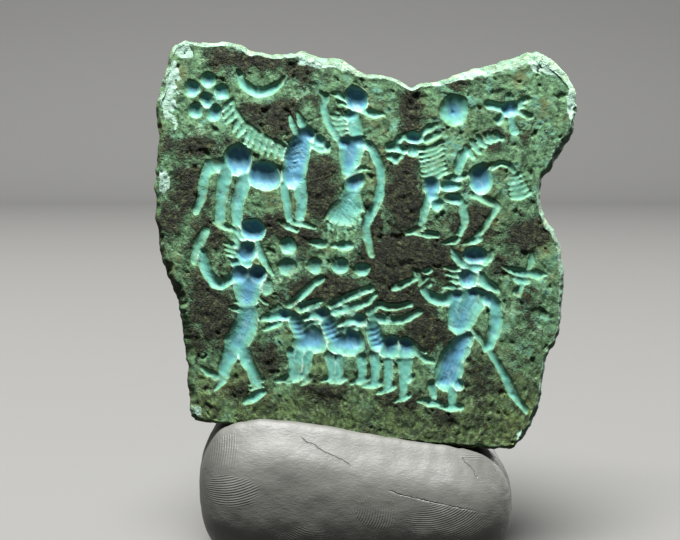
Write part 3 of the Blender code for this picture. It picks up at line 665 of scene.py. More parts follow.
@dataclass
class MaceMan(Engraver):
    """The man at the right in a horned cap, with a mace held out and a long staff behind."""

    across: float = 16.8
    up: float = 30.4

    def cuts(self) -> list[Hollow | Groove]:
        """All the man's cuts."""
        self.head()
        self.trunk()
        self.arms()
        self.skirt()
        return self.made

    def head(self) -> None:
        """The horned cap with its brim, the cheek, the combed beard and the braid behind."""
        self.hollow(24.5, 42, 13.5, 9.5, 2.8, turn=-6)
        self.curve(0.85, (1, 50, 1.0), (6, 42, 4.2), (13, 35, 4.8), (22, 32, 2.8))
        self.curve(0.6, (41, 48, 1.2), (39, 41, 3), (34, 35, 2.4))
        self.hollow(17.5, 20, 11, 10.6, 1.5)
        self.score_ring(18, 21, 5.6, 0.9, 0.22)
        self.hollow(24, 31, 9, 5.5, 1.0)
        for first, last in [((-6, 30), (9, 29)), ((-4, 23.5), (9, 23)), ((-3, 18), (9, 17)),
                            ((-7, 11), (11, 11))]:
            middle = ((first[0] + last[0]) / 2, (first[1] + last[1]) / 2 - 0.8)
            self.groove(0.8, (*first, 1.0), (*middle, 2.6), (*last, 2.0))
        self.curve(0.75, (30, 24, 2.6), (34, 16, 4.8), (41, 11, 4.4), (48, 6, 1.6))
        self.groove(0.4, (27, 30, 1.2), (28, 16, 1.6))

    def trunk(self) -> None:
        """The drilled shoulders, the fluted chest and the waistband."""
        for x, y, size in [(7, 2, 7), (22.5, 4, 7.4), (39, -3, 6)]:
            self.hollow(x, y, size, size, 2.0)
        self.groove(1.05, (19, -4, 16), (15, -14, 14), (10, -27, 10.5))
        self.groove(0.95, (5, -4, 7), (3, -16, 6.5), (4, -27, 5.5))
        for i in range(5):
            self.score(0.2, (5 + 6 * i, -4, 0.8), (4 + 3.4 * i, -25, 0.8))
        self.curve(0.5, (-1, -30, 1.2), (9, -33, 2.6), (19, -32, 1.2))
        self.score(0.4, (-1, -27.5, 0.9), (9, -30, 1.1), (19, -29, 0.8))

    def arms(self) -> None:
        """The arm that holds out the mace, and the arm that holds the staff."""
        self.curve(1.0, (4, 1, 6.2), (-9, -2, 6.0), (-20, 2, 5.2), (-27, 8, 3.6))
        self.groove(0.5, (-30, 14, 2.2), (-24, 20, 1.8))
        self.groove(0.5, (-28, 8, 2.2), (-20, 14, 2.0))
        self.curve(0.7, (-57, 9, 2.8), (-47, 14, 3.2), (-37, 19, 2.4))
        self.groove(0.5, (-37, 28, 1.2), (-34, 20, 2.0))
        self.groove(0.5, (-33, 27, 1.2), (-30, 17, 2.0))
        self.hollow(-23.5, 27, 6.2, 4, 0.8, turn=22)
        self.limb(0.95, (34, 1, 6.4), (44, -6, 6.2), (45, -22, 6), (43, -35, 5.6), (39, -46, 5))
        self.hollow(38, -48, 7.4, 6.4, 0.9, turn=40)
        for i in range(3):
            self.groove(0.4, (31 + 3.5 * i, -44 - 1.5 * i, 1.3), (35 + 3 * i, -53, 1.5))
        self.groove(0.55, (21, -30, 1.2), (27, -38, 2.6), (34, -48, 1.8))
        self.curve(0.75, (40, -54, 3), (50, -71, 3.6), (61, -93, 3.8), (75, -113, 2.8))
        self.score_pit(62, -97, 3.6, 0.2)

    def skirt(self) -> None:
        """The hips, the pleated skirt with its two hanging corners, and the feet."""
        self.hollow(13, -43, 13, 9, 1.4, turn=30)
        self.curve(1.4, (9, -50, 11), (2, -60, 11.5), (-1, -70, 13), (-3, -80, 13))
        self.hollow(-8, -84, 8, 6.5, 1.2)
        self.hollow(8, -87, 6, 7, 1.2)
        for i in range(6):
            self.score(0.22, (4 + 2.6 * i, -48, 0.8), (-6 + 3.6 * i, -68, 1.0), (-16 + 4.2 * i, -88, 0.9))
        self.groove(0.7, (-19, -86, 4), (-17, -98, 3.6))
        self.groove(0.75, (1, -92, 4.4), (2, -105, 4.2))
        self.foot((-12, -106), (-32, -103), half=3.8)
        self.foot((9, -110), (-11, -110), half=4.6)


@dataclass
class Goat:
    """A long-horned goat that walks to the left.

    Its neck is rows of across, up and half width. Its rings are their left end, their top, their width and
    how many there are. Its body is rows of across, up, half width, half height and depth. A leg is its
    thigh, its fetlock and its toe, and a horn is the points that it runs through.
    """

    across: float
    up: float
    head: tuple[float, float]
    neck: tuple[tuple[float, float, float], ...]
    rings: tuple[float, float, float, int]
    body: tuple[tuple[float, float, float, float, float], ...]
    legs: tuple[tuple[tuple[float, float], tuple[float, float], tuple[float, float]], ...]
    horns: tuple[tuple[tuple[float, float], ...], ...]

    def cuts(self) -> list[Hollow | Groove]:
        """All the goat's cuts."""
        tool = Engraver(self.across, self.up)
        x, y = self.head
        tool.hollow(x, y, 8.5, 7, 1.25, turn=-10)
        tool.curve(0.9, (x - 4, y, 5), (x - 13, y - 1.5, 4.2), (x - 24, y - 5, 1.8))
        tool.groove(0.75, (x - 4, y - 8, 2.6), (x - 13, y - 11, 3.4), (x - 21, y - 15, 1.8))
        tool.groove(0.5, (x - 5, y + 8, 2.4), (x - 13, y + 4, 2.0))
        tool.score_pit(x + 1, y + 3, 1.6, 0.3)
        tool.groove(1.2, *self.neck)
        left, top, width, count = self.rings
        for i in range(count):
            rise = top - 5.0 * i
            tool.score(0.65, (left + 1.6 * i, rise - 3, 1.5), (left + 1.6 * i + width / 2, rise - 2, 2.0),
                       (left + 1.6 * i + width, rise + 3, 1.3))
        for cx, cy, wide, tall, depth in self.body:
            tool.hollow(cx, cy, wide * 1.08, tall * 1.08, depth * 0.82)
        for thigh, fetlock, toe in self.legs:
            knee = ((thigh[0] + fetlock[0]) / 2 + 1, (thigh[1] + fetlock[1]) / 2)
            tool.curve(0.75, (*thigh, 5.2), (*knee, 4.4), (*fetlock, 3.8), pieces=4)
            for side in (-1.5, 1.5):
                tool.score(0.2, (thigh[0] + side, thigh[1], 0.7), (fetlock[0] + side, fetlock[1], 0.7))
            tool.foot((fetlock[0] + 6, fetlock[1] - 1), toe, half=3.8, depth=0.75)
        for horn in self.horns:
            widths = np.linspace(4.0, 2.9, len(horn))
            tool.curve(0.8, *((hx, hy, half) for (hx, hy), half in zip(horn, widths)))
        return tool.made


@dataclass
class GoatHerd:
    """The goats that walk abreast, each overlapping the next."""

    def cuts(self) -> list[Hollow | Groove]:
        """All the goats' cuts, the last one's tail and the second one's long ear."""
        first = Goat(
            -13.4, 25.2, head=(-15, 9),
            neck=((-6, 6, 6), (2, -8, 9), (8, -16, 11)),
            rings=(-9, 6, 13, 4),
            body=((3, -20, 11, 10, 1.5), (13, -14, 13, 13, 1.9), (16, -20, 12, 10, 1.6)),
            legs=(((-8, -28), (-8, -50), (-25, -58)), ((0, -30), (-3, -50), (-12, -59)),
                  ((8, -30), (4, -52), (2, -60))),
            horns=(((-9, 20), (5, 32), (16, 41), (22, 46)), ((0, 16), (10, 20), (20, 23))),
        )
        second = Goat(
            -6.6, 24.8, head=(-11, 12),
            neck=((-6, 4, 7), (-2, -8, 9)),
            rings=(-12, 3, 15, 4),
            body=((6, -17, 13, 11, 1.5), (18, -15, 12, 11, 2.1), (14, -20, 17, 11, 1.4)),
            legs=(((-4, -31), (-1, -50), (-12, -55)), ((4, -33), (5, -51), (-2, -57))),
            horns=(((-2, 21), (14, 28), (29, 35), (38, 38)), ((1, 14), (17, 18), (32, 24), (41, 32))),
        )
        third = Goat(
            1.6, 23.6, head=(-15, 12),
            neck=((-2, 6, 7), (0, -4, 8), (3, -12, 8)),
            rings=(-7, 3, 13, 4),
            body=((14, -16, 11, 10.5, 1.4), (17, -11, 7.5, 7.5, 1.9), (32, -17, 11.5, 11, 1.4),
                  (32, -13, 8.5, 8, 2.3)),
            legs=(((-14, -26), (-13, -46), (-24, -51)), ((0, -24), (0, -50), (-11, -54)),
                  ((14, -30), (12, -54), (3, -61)), ((28, -30), (28, -62), (20, -70)),
                  ((33, -30), (31, -44), (28, -52))),
            horns=(((-4, 20), (4, 27), (17, 24), (35, 27)), ((-2, 14), (19, 11), (32, 13), (45, 21))),
        )
        tail = Engraver(third.across, third.up)
        tail.curve(0.6, (40, -18, 2.4), (49, -26, 3.4), (59, -31, 1.4))
        tail.groove(0.45, (41, -16, 1.6), (50, -20, 1.8))
        ear = Engraver(second.across, second.up)
        ear.groove(0.5, (8, -5, 1.6), (19, 5, 2.4))
        return first.cuts() + second.cuts() + third.cuts() + tail.made + ear.made


@dataclass
class SmallBird:
    """The bird with spread wings at the right."""

    def cuts(self) -> list[Hollow | Groove]:
        """All the bird's cuts."""
        tool = Engraver(31.2, 35.4)
        tool.curve(0.95, (-21, 6, 0.6), (-11, 3, 3.0), (0, 0, 4.2), (7, -1, 3.0))
        tool.curve(0.9, (6, 0, 2.4), (14, -2, 4.2), (24, -2, 0.6))
        tool.curve(0.8, (-8, -5, 2.4), (-1, -8, 4.4), (6, -8, 2.4))
        tool.groove(0.7, (9, 21, 1.2), (8, 13, 3.4), (6, 5, 2.4))
        tool.groove(0.7, (0, -12, 2.4), (-5, -20, 3.4))
        return tool.made


@dataclass
class Net:
    """The slab's vertices, and what becomes of each.

    A vertex's place on the flat square says which cell it belongs to, and its level how many rings it lies
    below the face. The skin holds the values that the stone's material reads.
    """

    square: np.ndarray
    level: np.ndarray
    place: np.ndarray
    skin: dict[str, np.ndarray]

    @classmethod
    def of(cls, mesh: bpy.types.Mesh) -> "Net":
        """Reads the net from a mesh that is still square, with its rings stacked below the face.

        Args:
            mesh: the slab's blank.

        Returns:
            The net, with nothing placed yet.
        """
        square = vertex_places(mesh)
        skin = {name: np.zeros(len(square)) for name in SKIN_VALUES}
        return cls(square, np.rint(-square[:, 2]).astype(int), np.zeros((len(square), 3)), skin)

    def cells(self, chosen: np.ndarray, across: int, up: int) -> tuple[np.ndarray, np.ndarray]:
        """The column and the row of each chosen vertex, on a grid with so many cells across and up."""
        share = (self.square[chosen] + 1) / 2
        return np.rint(share[:, 0] * across).astype(int), np.rint(share[:, 1] * up).astype(int)

    def lay(self, chosen: np.ndarray, flat: np.ndarray, height: np.ndarray,
            **skin: np.ndarray | float) -> None:
        """Places the chosen vertices on the slab.

        Args:
            chosen: which vertices they are.
            flat: their places across and up.
            height: how far they stand above the face.
            skin: their values for the material, by name.
        """
        self.place[chosen, :2] = flat
        self.place[chosen, 2] = height
        for name, values in skin.items():
            self.skin[name][chosen] = values


@dataclass
class Slab:
    """The engraved stone: a carved face, a chipped rim, rough broken sides and a plain back.

    The outline's rows are across, up and the bevel's width. The rows of crust and of bare mineral are
    across, up, half width, half height and strength.
    """

    width: float = 85.0
    height: float = 81.8
    thickness: float = 11.0
    lean: float = math.radians(6.0)
    cells_across: int = 284
    cells_up: int = 276
    bevel_rings: int = 4
    side_rings: int = 8
    back_coarseness: int = 4
    outline_step: float = 0.05
    rim_window: int = 6
    merging: float = 5.0
    depth_scale: float = 0.74
    slips: tuple[Roughness, ...] = (Roughness(2.6, 4, 71.0, 0.30), Roughness(2.6, 4, 81.0, 0.30))
    uneven_depth: Roughness = Roughness(5.0, 3, 171.0, 0.14)
    tool_marks: Roughness = Roughness(0.55, 2, 151.0, 0.05)
    tool_mark_stretch: tuple[float, float] = (1.0, 0.14)
    waves: Roughness = Roughness(11.0, 2, 3.0, 0.22)
    grains: Roughness = Roughness(1.5, 4, 21.0, 0.15)
    pits: Roughness = Roughness(2.3, 3, 31.0)
    pit_depth: float = 0.40
    flakes: Roughness = Roughness(3.6, 3, 41.0)
    flake_step: float = 0.16
    crust_thickness: float = 0.08
    least_crust: float = 0.10
    most_crust: float = 1.2
    crust_patches: Roughness = Roughness(5.0, 4, 11.0, 0.34)
    crust_crumbs: Roughness = Roughness(1.3, 3, 5.0, 0.24)
    bare_patches: Roughness = Roughness(3.0, 4, 131.0, 0.30)
    moss_line: float = 24.0
    moss_fade: float = 16.0
    moss_cover: float = 0.85
    moss_edge: Roughness = Roughness(9.0, 3, 141.0, 9.0)
    least_rim: float = 0.12
    rim_wander: Roughness = Roughness(3.0, 3, 61.0, 0.35)
    rim_drop: float = 1.05
    rim_roundness: float = 1.6
    side_bulge: float = 0.2
    chips: tuple[Roughness, ...] = (Roughness(1.9, 4, 91.0, 0.30), Roughness(5.0, 2, 95.0, 0.28))
    side_grains: Roughness = Roughness(1.4, 3, 99.0, 0.18)
    facets: Roughness = Roughness(2.4, 3, 181.0, 0.35)
    side_crust: Roughness = Roughness(6.0, 4, 105.0, 0.6)
    fresh_edge: Roughness = Roughness(2.6, 4, 161.0)
    # How pale the broken sides are: a little everywhere for fresh mineral, and more on rims that face up or
    # to the right, which is painted light where the lamps would catch them.
    fresh_everywhere: float = 0.15
    painted_light_on_top: float = 0.75
    painted_light_on_right: float = 0.8
    back_bevel: float = 1.6
    back_rise: float = 0.35
    back_waves: Roughness = Roughness(13.0, 4, 111.0, 0.55)
    back_grains: Roughness = Roughness(2.8, 4, 115.0, 0.26)
    back_flakes: Roughness = Roughness(16.0, 4, 191.0)
    back_flake_step: float = 0.45
    back_crust: tuple[Roughness, ...] = (Roughness(14.0, 5, 121.0, 0.35), Roughness(3.0, 4, 125.0, 0.5))
    back_bare: Roughness = Roughness(8.0, 5, 195.0)
    outline: tuple[tuple[float, float, float], ...] = (
        (-38.6, 80.6, 0.7), (-38.0, 81.2, 0.7), (-35.2, 81.8, 0.7), (-31.8, 81.3, 0.8), (-28.0, 81.5, 0.8),
        (-24.6, 80.9, 1.0), (-23.2, 80.2, 1.4), (-20.8, 79.8, 1.2), (-18.2, 79.2, 1.0), (-15.2, 79.5, 1.2),
        (-12.6, 79.8, 1.6), (-10.4, 79.1, 1.7), (-6.8, 78.5, 1.9), (-4.4, 78.1, 2.0), (-2.6, 77.2, 2.0),
        (-1.0, 75.9, 1.6), (1.0, 75.1, 1.0), (3.8, 74.9, 0.9), (6.4, 74.0, 0.8), (8.4, 72.8, 0.7),
        (9.4, 72.6, 0.7), (10.8, 73.4, 0.8), (14.0, 73.9, 1.0), (15.6, 74.2, 1.2), (18.8, 75.6, 1.8),
        (22.2, 76.8, 2.4), (25.6, 77.6, 2.8), (27.8, 78.3, 3.0), (30.6, 79.3, 3.0), (34.4, 80.1, 3.0),
        (36.0, 79.7, 2.8), (37.6, 78.6, 2.4), (39.2, 77.0, 1.8), (40.6, 74.8, 1.4), (41.8, 72.5, 1.2),
        (42.5, 69.8, 1.1), (42.6, 68.0, 1.1), (42.0, 65.4, 1.2), (41.3, 62.8, 1.3), (38.8, 59.2, 1.4),
        (38.0, 57.8, 1.3), (36.8, 55.8, 1.2), (35.7, 54.8, 1.0), (35.0, 52.4, 0.9), (34.9, 49.8, 0.9),
        (35.7, 47.4, 1.1), (37.9, 43.6, 1.3), (39.1, 41.2, 1.3), (39.4, 39.2, 1.1), (39.6, 35.4, 1.0),
        (39.6, 30.6, 0.9), (38.9, 24.6, 0.8), (38.1, 21.6, 0.9), (36.7, 19.2, 0.9), (35.6, 14.4, 0.8),
        (35.0, 10.0, 0.8), (33.3, 4.8, 1.0), (32.3, 2.8, 1.2), (30.6, 1.1, 1.0), (29.6, 0.2, 0.9),
        (26.0, 0.0, 0.8), (12.8, 0.8, 0.8), (-3.2, 2.2, 0.8), (-19.2, 3.6, 0.8), (-32.4, 5.4, 0.8),
        (-34.6, 6.3, 0.9), (-35.4, 7.2, 1.2), (-35.5, 10.4, 1.4), (-35.9, 13.4, 1.6), (-35.8, 15.4, 1.8),
        (-36.4, 18.4, 2.2), (-37.0, 22.4, 2.4), (-38.1, 29.6, 2.2), (-40.4, 36.2, 1.8), (-41.4, 39.2, 1.4),
        (-42.2, 45.6, 1.2), (-42.4, 50.4, 1.0), (-42.4, 53.8, 1.0), (-41.8, 59.4, 1.0), (-41.4, 62.2, 1.0),
        (-41.9, 64.8, 1.0), (-42.2, 68.2, 1.0), (-41.2, 72.4, 1.0), (-40.0, 76.8, 0.9), (-39.5, 79.0, 0.8),
    )
    corners: tuple[tuple[float, float], ...] = ((-39.2, 79.6), (40.2, 75.6), (31.4, 1.8), (-34.9, 6.6))
    crust: tuple[tuple[float, float, float, float, float], ...] = (
        (-30.0, 78.4, 3.4, 2.4, 0.8), (-23.0, 78.0, 7.5, 2.2, 0.8), (-14.0, 75.5, 4.0, 3.0, 0.6),
        (-17.0, 66.5, 4.5, 4.5, 0.8), (-23.0, 67.0, 4.5, 2.5, 0.6), (-35.0, 61.0, 5.0, 2.6, 0.8),
        (-35.5, 51.5, 4.0, 5.0, 0.85), (-38.5, 47.0, 3.0, 4.0, 0.6), (-32.0, 42.5, 3.5, 4.0, 0.6),
        (-9.6, 52.0, 3.6, 8.0, 1.0), (-12.2, 44.0, 4.0, 3.0, 0.8), (-18.0, 44.5, 4.0, 3.0, 0.7),
        (7.0, 50.5, 3.8, 9.0, 1.0), (8.8, 68.0, 2.2, 5.0, 0.8), (7.0, 38.0, 8.5, 6.0, 1.3),
        (1.8, 44.5, 2.5, 4.0, 0.8), (21.0, 45.0, 6.0, 3.6, 0.85), (16.0, 38.0, 4.0, 3.5, 0.8),
        (31.0, 43.5, 5.0, 4.0, 0.8), (27.0, 36.5, 3.5, 3.0, 0.5), (-31.0, 27.0, 4.5, 5.0, 0.9),
        (-32.5, 32.0, 3.5, 4.0, 0.6), (-18.0, 31.0, 3.6, 2.6, 0.45), (-7.0, 32.5, 8.0, 2.4, 0.9),
        (7.0, 30.0, 7.0, 3.0, 0.8), (12.0, 24.5, 3.4, 6.0, 0.85), (-19.5, 18.0, 3.4, 6.0, 0.45),
        (-26.0, 12.0, 3.0, 2.5, 0.4), (-8.0, 11.0, 7.0, 2.6, 0.5), (5.0, 10.0, 6.0, 2.5, 0.55),
        (23.0, 13.5, 4.0, 5.5, 0.45), (33.0, 30.0, 3.5, 4.0, 0.35), (-35.4, 21.0, 2.4, 6.0, 0.7),
        (18.0, 73.6, 5.0, 1.8, 0.5), (27.0, 61.5, 4.0, 3.0, 0.4), (17.0, 7.0, 6.0, 2.5, 0.5),
    )
    bare: tuple[tuple[float, float, float, float, float], ...] = (
        (-39.5, 72.5, 3.5, 8.0, 0.75), (-36.5, 79.5, 3.0, 2.0, 0.7), (-40.8, 54.0, 1.8, 3.0, 0.9),
        (-7.0, 77.6, 9.0, 1.6, 1.0), (-22.0, 80.0, 6.0, 1.0, 0.8), (26.0, 77.6, 9.0, 1.4, 0.9),
        (36.5, 77.0, 5.0, 2.6, 1.0), (41.6, 69.0, 1.8, 8.0, 1.0), (-34.5, 8.0, 2.6, 3.4, 0.7),
        (31.0, 2.6, 3.2, 2.4, 0.75), (39.0, 33.0, 1.0, 11.0, 0.7), (36.0, 45.0, 1.2, 5.0, 0.5),
        (-41.4, 40.0, 1.0, 3.0, 0.4), (34.0, 14.0, 1.0, 6.0, 0.35),
    )

    def figures(self) -> list[Hollow | Groove]:
        """Every cut on the face."""
        groups = (SkySigns, WingedHorse, WingedBull, RobedMan, ClubMan, MaceMan, GoatHerd, SmallBird)
        return [cut for group in groups for cut in group().cuts()]

    def carving(self, points: np.ndarray) -> np.ndarray:
        """How deep the carving is: the cuts, each run softly into the next, and the scores below them.

        Args:
            points: rows of across and up.

        Returns:
            The depth at each point in millimetres, before it is scaled.
        """
        merged, scored = np.zeros(len(points)), np.zeros(len(points))
        for cut in self.figures():
            low, high = cut.reach()
            near = np.nonzero(((points >= low) & (points <= high)).all(1))[0]
            depth = cut.depth_at(points[near])
            if cut.scored:
                scored[near] = np.maximum(scored[near], depth)
            else:
                merged[near] += depth ** self.merging
        return merged ** (1.0 / self.merging) + scored

    def loops(self) -> tuple[np.ndarray, np.ndarray]:
        """The silhouette, clockwise from the top left, with a point for each cell round the edge.

        Returns:
            The points across and up, and the bevel's width at each.
        """
        rows = np.array(self.outline)
        four = (np.roll(rows, 1, 0), rows, np.roll(rows, -1, 0), np.roll(rows, -2, 0))
        fine = [spline(*four, t) for t in np.arange(0.0, 1.0, self.outline_step)]
        fine = np.stack(fine, 1).reshape(-1, 3)
        middle = (fine[:, 0].min() + fine[:, 0].max()) / 2
        fine[:, 0] = (fine[:, 0] - middle) * self.width / np.ptp(fine[:, 0])
        fine[:, 1] = (fine[:, 1] - fine[:, 1].min()) * self.height / np.ptp(fine[:, 1])
        starts = [int(np.argmin(((fine[:, :2] - corner) ** 2).sum(1))) for corner in self.corners]
        fine = np.roll(fine, -starts[0], axis=0)
        starts = [(start - starts[0]) % len(fine) for start in starts] + [len(fine)]
        closed = np.vstack([fine, fine[:1]])
        sampled = []
        for first, last, cells in zip(starts[:-1], starts[1:], (self.cells_across, self.cells_up) * 2):
            side = closed[first:last + 1]
            steps = np.concatenate([[0.0], np.cumsum(np.linalg.norm(np.diff(side[:, :2], axis=0), axis=1))])
            at = np.arange(cells) / cells * steps[-1]
            sampled.append(np.stack([np.interp(at, steps, column) for column in side.T], 1))
        loop = np.vstack(sampled)
        return loop[:, :2], loop[:, 2]

    def inward(self, loop: np.ndarray) -> np.ndarray:
        """Unit vectors that point into the loop, smoothed along it.

        Args:
            loop: the loop's points, clockwise.

        Returns:
            One vector for each point.
        """
        ahead = sum(np.roll(loop, -k, 0) - np.roll(loop, k, 0) for k in range(1, self.rim_window + 1))
        normals = np.stack([ahead[:, 1], -ahead[:, 0]], 1)
        return normals / np.linalg.norm(normals, axis=1)[:, None]

    def spread(self, loop: np.ndarray, across: int, up: int) -> np.ndarray:
        """A grid of points that fills the loop, its four sides running between the corners.

        Args:
            loop: the loop's points, clockwise from the top left corner.
            across: how many cells its top has.
            up: how many cells its right side has.

        Returns:
            An array of across + 1 by up + 1 points.
        """
        closed = np.vstack([loop, loop[:1]])
        top = closed[:across + 1][:, None]
        right = closed[across:across + up + 1][::-1][None]
        bottom = closed[across + up:2 * across + up + 1][::-1][:, None]
        left = closed[2 * across + up:][None]
        s = np.linspace(0.0, 1.0, across + 1)[:, None, None]
        t = np.linspace(0.0, 1.0, up + 1)[None, :, None]
        corners = ((1 - s) * (1 - t) * bottom[0, 0] + s * (1 - t) * bottom[-1, 0]
                   + (1 - s) * t * top[0, 0] + s * t * top[-1, 0])
        return (1 - t) * bottom + t * top + (1 - s) * left + s * right - corners

    def blank(self) -> bpy.types.Object:
        """A flat square net of the slab: a fine face, stacked rings for its sides and a coarser back.

        Returns:
            The net. A vertex's height says which ring it is on, counting down from the face at 0.
        """
        rings = self.bevel_rings + self.side_rings
        coarse = self.back_coarseness
        bpy.ops.object.select_all(action="DESELECT")
        bpy.ops.mesh.primitive_grid_add(x_subdivisions=self.cells_across, y_subdivisions=self.cells_up,
                                        size=2.0)
        face = bpy.context.object
        bpy.ops.object.mode_set(mode="EDIT")
        bpy.ops.mesh.select_all(action="SELECT")
        bpy.ops.mesh.region_to_loop()
        for _ in range(rings):
            bpy.ops.mesh.extrude_edges_move(TRANSFORM_OT_translate={"value": (0.0, 0.0, -1.0)})
        bpy.ops.object.mode_set(mode="OBJECT")
        bpy.ops.object.select_all(action="DESELECT")
        bpy.ops.mesh.primitive_grid_add(x_subdivisions=self.cells_across // coarse,
                                        y_subdivisions=self.cells_up // coarse, size=2.0,
                                        location=(0.0, 0.0, -rings - 1.0))
        bpy.ops.object.mode_set(mode="EDIT")
        bpy.ops.mesh.select_all(action="SELECT")
        bpy.ops.mesh.flip_normals()
        bpy.ops.object.mode_set(mode="OBJECT")
        face.select_set(True)
        bpy.context.view_layer.objects.active = face
        bpy.ops.object.join()
        bpy.ops.object.mode_set(mode="EDIT")
        bpy.ops.mesh.select_mode(type="EDGE")
        bpy.ops.mesh.select_all(action="DESELECT")
        bpy.ops.mesh.select_non_manifold(extend=False, use_wire=False, use_boundary=True,
                                         use_multi_face=False, use_non_contiguous=False, use_verts=False)
        bpy.ops.mesh.bridge_edge_loops()
        bpy.ops.mesh.select_all(action="SELECT")
        bpy.ops.mesh.quads_convert_to_tris(quad_method="SHORTEST_DIAGONAL")
        bpy.ops.object.mode_set(mode="OBJECT")
        return face

    def loop_index(self, i: np.ndarray, j: np.ndarray) -> np.ndarray:
        """Where a vertex on the net's edge lies along the loop.

        Args:
            i: the vertices' columns.
            j: the vertices' rows.

        Returns:
            Each vertex's index in the loop.
        """
        across, up = self.cells_across, self.cells_up
        where = np.where(j == up, i, np.where(i == across, across + up - j,
                         np.where(j == 0, 2 * across + up - i, 2 * across + up + j)))
        return where % (2 * (across + up))

    def patches(self, points: np.ndarray, spots: tuple[tuple[float, ...], ...]) -> np.ndarray:
        """How strongly soft oval spots cover each point.

        Args:
            points: rows of across and up.
            spots: rows of across, up, half width, half height and strength.

        Returns:
            The strongest spot's cover at each point.
        """
        cover = np.zeros(len(points))
        for x, y, wide, tall, strength in spots:
            reach = np.exp(-((points[:, 0] - x) / wide) ** 2 - ((points[:, 1] - y) / tall) ** 2)
            cover = np.maximum(cover, strength * reach)
        return cover

    def crust_at(self, points: np.ndarray) -> np.ndarray:
        """How much dark crust is left on the worn face at each point, from none at 0."""
        cover = self.least_crust + self.patches(points, self.crust)
        cover += self.crust_patches.at(points) + self.crust_crumbs.at(points)
        return np.clip(cover, 0.0, self.most_crust)

    def bare_at(self, points: np.ndarray) -> np.ndarray:
        """How much pale fresh mineral shows at each point, from 0 to 1."""
        cover = self.patches(points, self.bare) + self.bare_patches.at(points) - 0.05
        return smooth_step(cover, 0.30, 0.62)

    def face_relief(self, points: np.ndarray, crust: np.ndarray, cut: np.ndarray) -> np.ndarray:
        """The worn skin's height: waves, grains, pits and flakes, and tool marks instead inside the cuts.

        Args:
            points: rows of across and up.
            crust: how much crust covers each point.
            cut: how deep the carving is at each point.

        Returns:
            One height in millimetres for each point.
        """
        skin = 1.0 - smooth_step(cut, 0.05, 0.5)
        waves = self.waves.at(points) - self.waves.height
        grains = self.grains.at(points) * (0.75 + 0.6 * crust)
        pits = self.pit_depth * smooth_step(self.pits.at(points), 0.38, 0.8)
        flakes = self.flake_step * smooth_step(self.flakes.at(points), 0.0, 0.2)
        worn = grains - pits + flakes + self.crust_thickness * crust
        worked = 0.45 * grains + self.tool_marks.at(points * self.tool_mark_stretch)
        return waves + skin * worn + (1 - skin) * worked

    def lay_face(self, net: Net, rim: np.ndarray) -> np.ndarray:
        """Fills the rim with the worn, carved face.

        Args:
            net: the slab's net.
            rim: the loop where the bevel begins.

        Returns:
            The face's height at each point of its grid.
        """
        grid = self.spread(rim, self.cells_across, self.cells_up)
        shape, flat = grid.shape[:2], grid.reshape(-1, 2)
        cut = self.carving(flat + np.stack([slip.at(flat) for slip in self.slips], 1))
        cut *= 1.0 + self.uneven_depth.at(flat)
        crust = self.crust_at(flat)
        height = (self.face_relief(flat, crust, cut) - self.depth_scale * cut).reshape(shape)
        mossy = smooth_step(self.moss_line - flat[:, 1] + self.moss_edge.at(flat), 0.0, self.moss_fade)
        skin = {"cut": cut, "crust": crust, "bare": self.bare_at(flat), "moss": self.moss_cover * mossy,
                "ridge": height - blurred(height, 2)}
        columns, rows = (np.minimum(np.arange(n), n - 1 - np.arange(n)) for n in shape)
        height *= 1 - 0.6 * np.exp(-np.minimum(columns[:, None], rows[None]) / 1.5)
        chosen = net.level == 0
        cell = net.cells(chosen, self.cells_across, self.cells_up)
        net.lay(chosen, grid[cell], height[cell],
                **{name: values.reshape(shape)[cell] for name, values in skin.items()})
        return height

    def lay_sides(self, net: Net, silhouette: np.ndarray, inward: np.ndarray, rim: np.ndarray,
                  heights: np.ndarray) -> None:
        """Lays the rings of the chipped bevel and the broken sides, pale where they catch knocks, and paler
        on the top and right rims as painted light.

        Args:
            net: the slab's net.
            silhouette: the loop of the slab's outermost points.
            inward: a vector into the slab for each of them.
            rim: the bevel's width at each of them.
            heights: the face's height at each point of its grid.
        """
        chosen = (net.level > 0) & (net.level <= self.bevel_rings + self.side_rings)
        cell = net.cells(chosen, self.cells_across, self.cells_up)
        where = self.loop_index(*cell)
        ring = net.level[chosen].astype(float)
        bevel = np.clip(ring / self.bevel_rings, 0.0, 1.0)
        down = np.clip((ring - self.bevel_rings) / self.side_rings, 0.0, 1.0)
        drop = rim[where] * self.rim_drop * bevel ** self.rim_roundness
        height = (heights[cell] - drop) * (1 - down) + (1.0 - self.thickness) * down
        spots = np.column_stack([silhouette[where], height * 1.3])
        strength = np.clip(bevel * 1.2, 0.0, 1.0)
        chips = np.clip(0.05 - sum(chip.at(spots) for chip in self.chips), -0.2, 0.6) * strength
        inset = rim[where] * (1 - bevel) + self.side_bulge * np.sin(math.pi * down) + chips
        facets = np.sin(math.pi * bevel) * rim[where] * self.facets.at(silhouette[where])
        # Painted light: rims that face up or to the right are made paler, as if lit; only the share
        # everywhere stands for fresh mineral. This paleness goes into the bare value below.
        fresh_and_painted_light = (self.fresh_everywhere + self.painted_light_on_top * smooth_step(-inward[:, 1], 0.2, 0.9)
                 + self.painted_light_on_right * smooth_step(-inward[:, 0], 0.3, 0.9))
        pale = np.clip(fresh_and_painted_light + 0.6 * self.bare_at(silhouette), 0.0, 1.0)[where]
        net.lay(chosen, silhouette[where] + inward[where] * inset[:, None],
                height + self.side_grains.at(spots) * strength + facets,
                side=0.35 + 0.65 * bevel,
                crust=0.35 + self.side_crust.at(spots) + 0.15 * down,
                bare=pale * np.clip(1.35 - 1.4 * down + self.fresh_edge.at(spots), 0.0, 1.0))

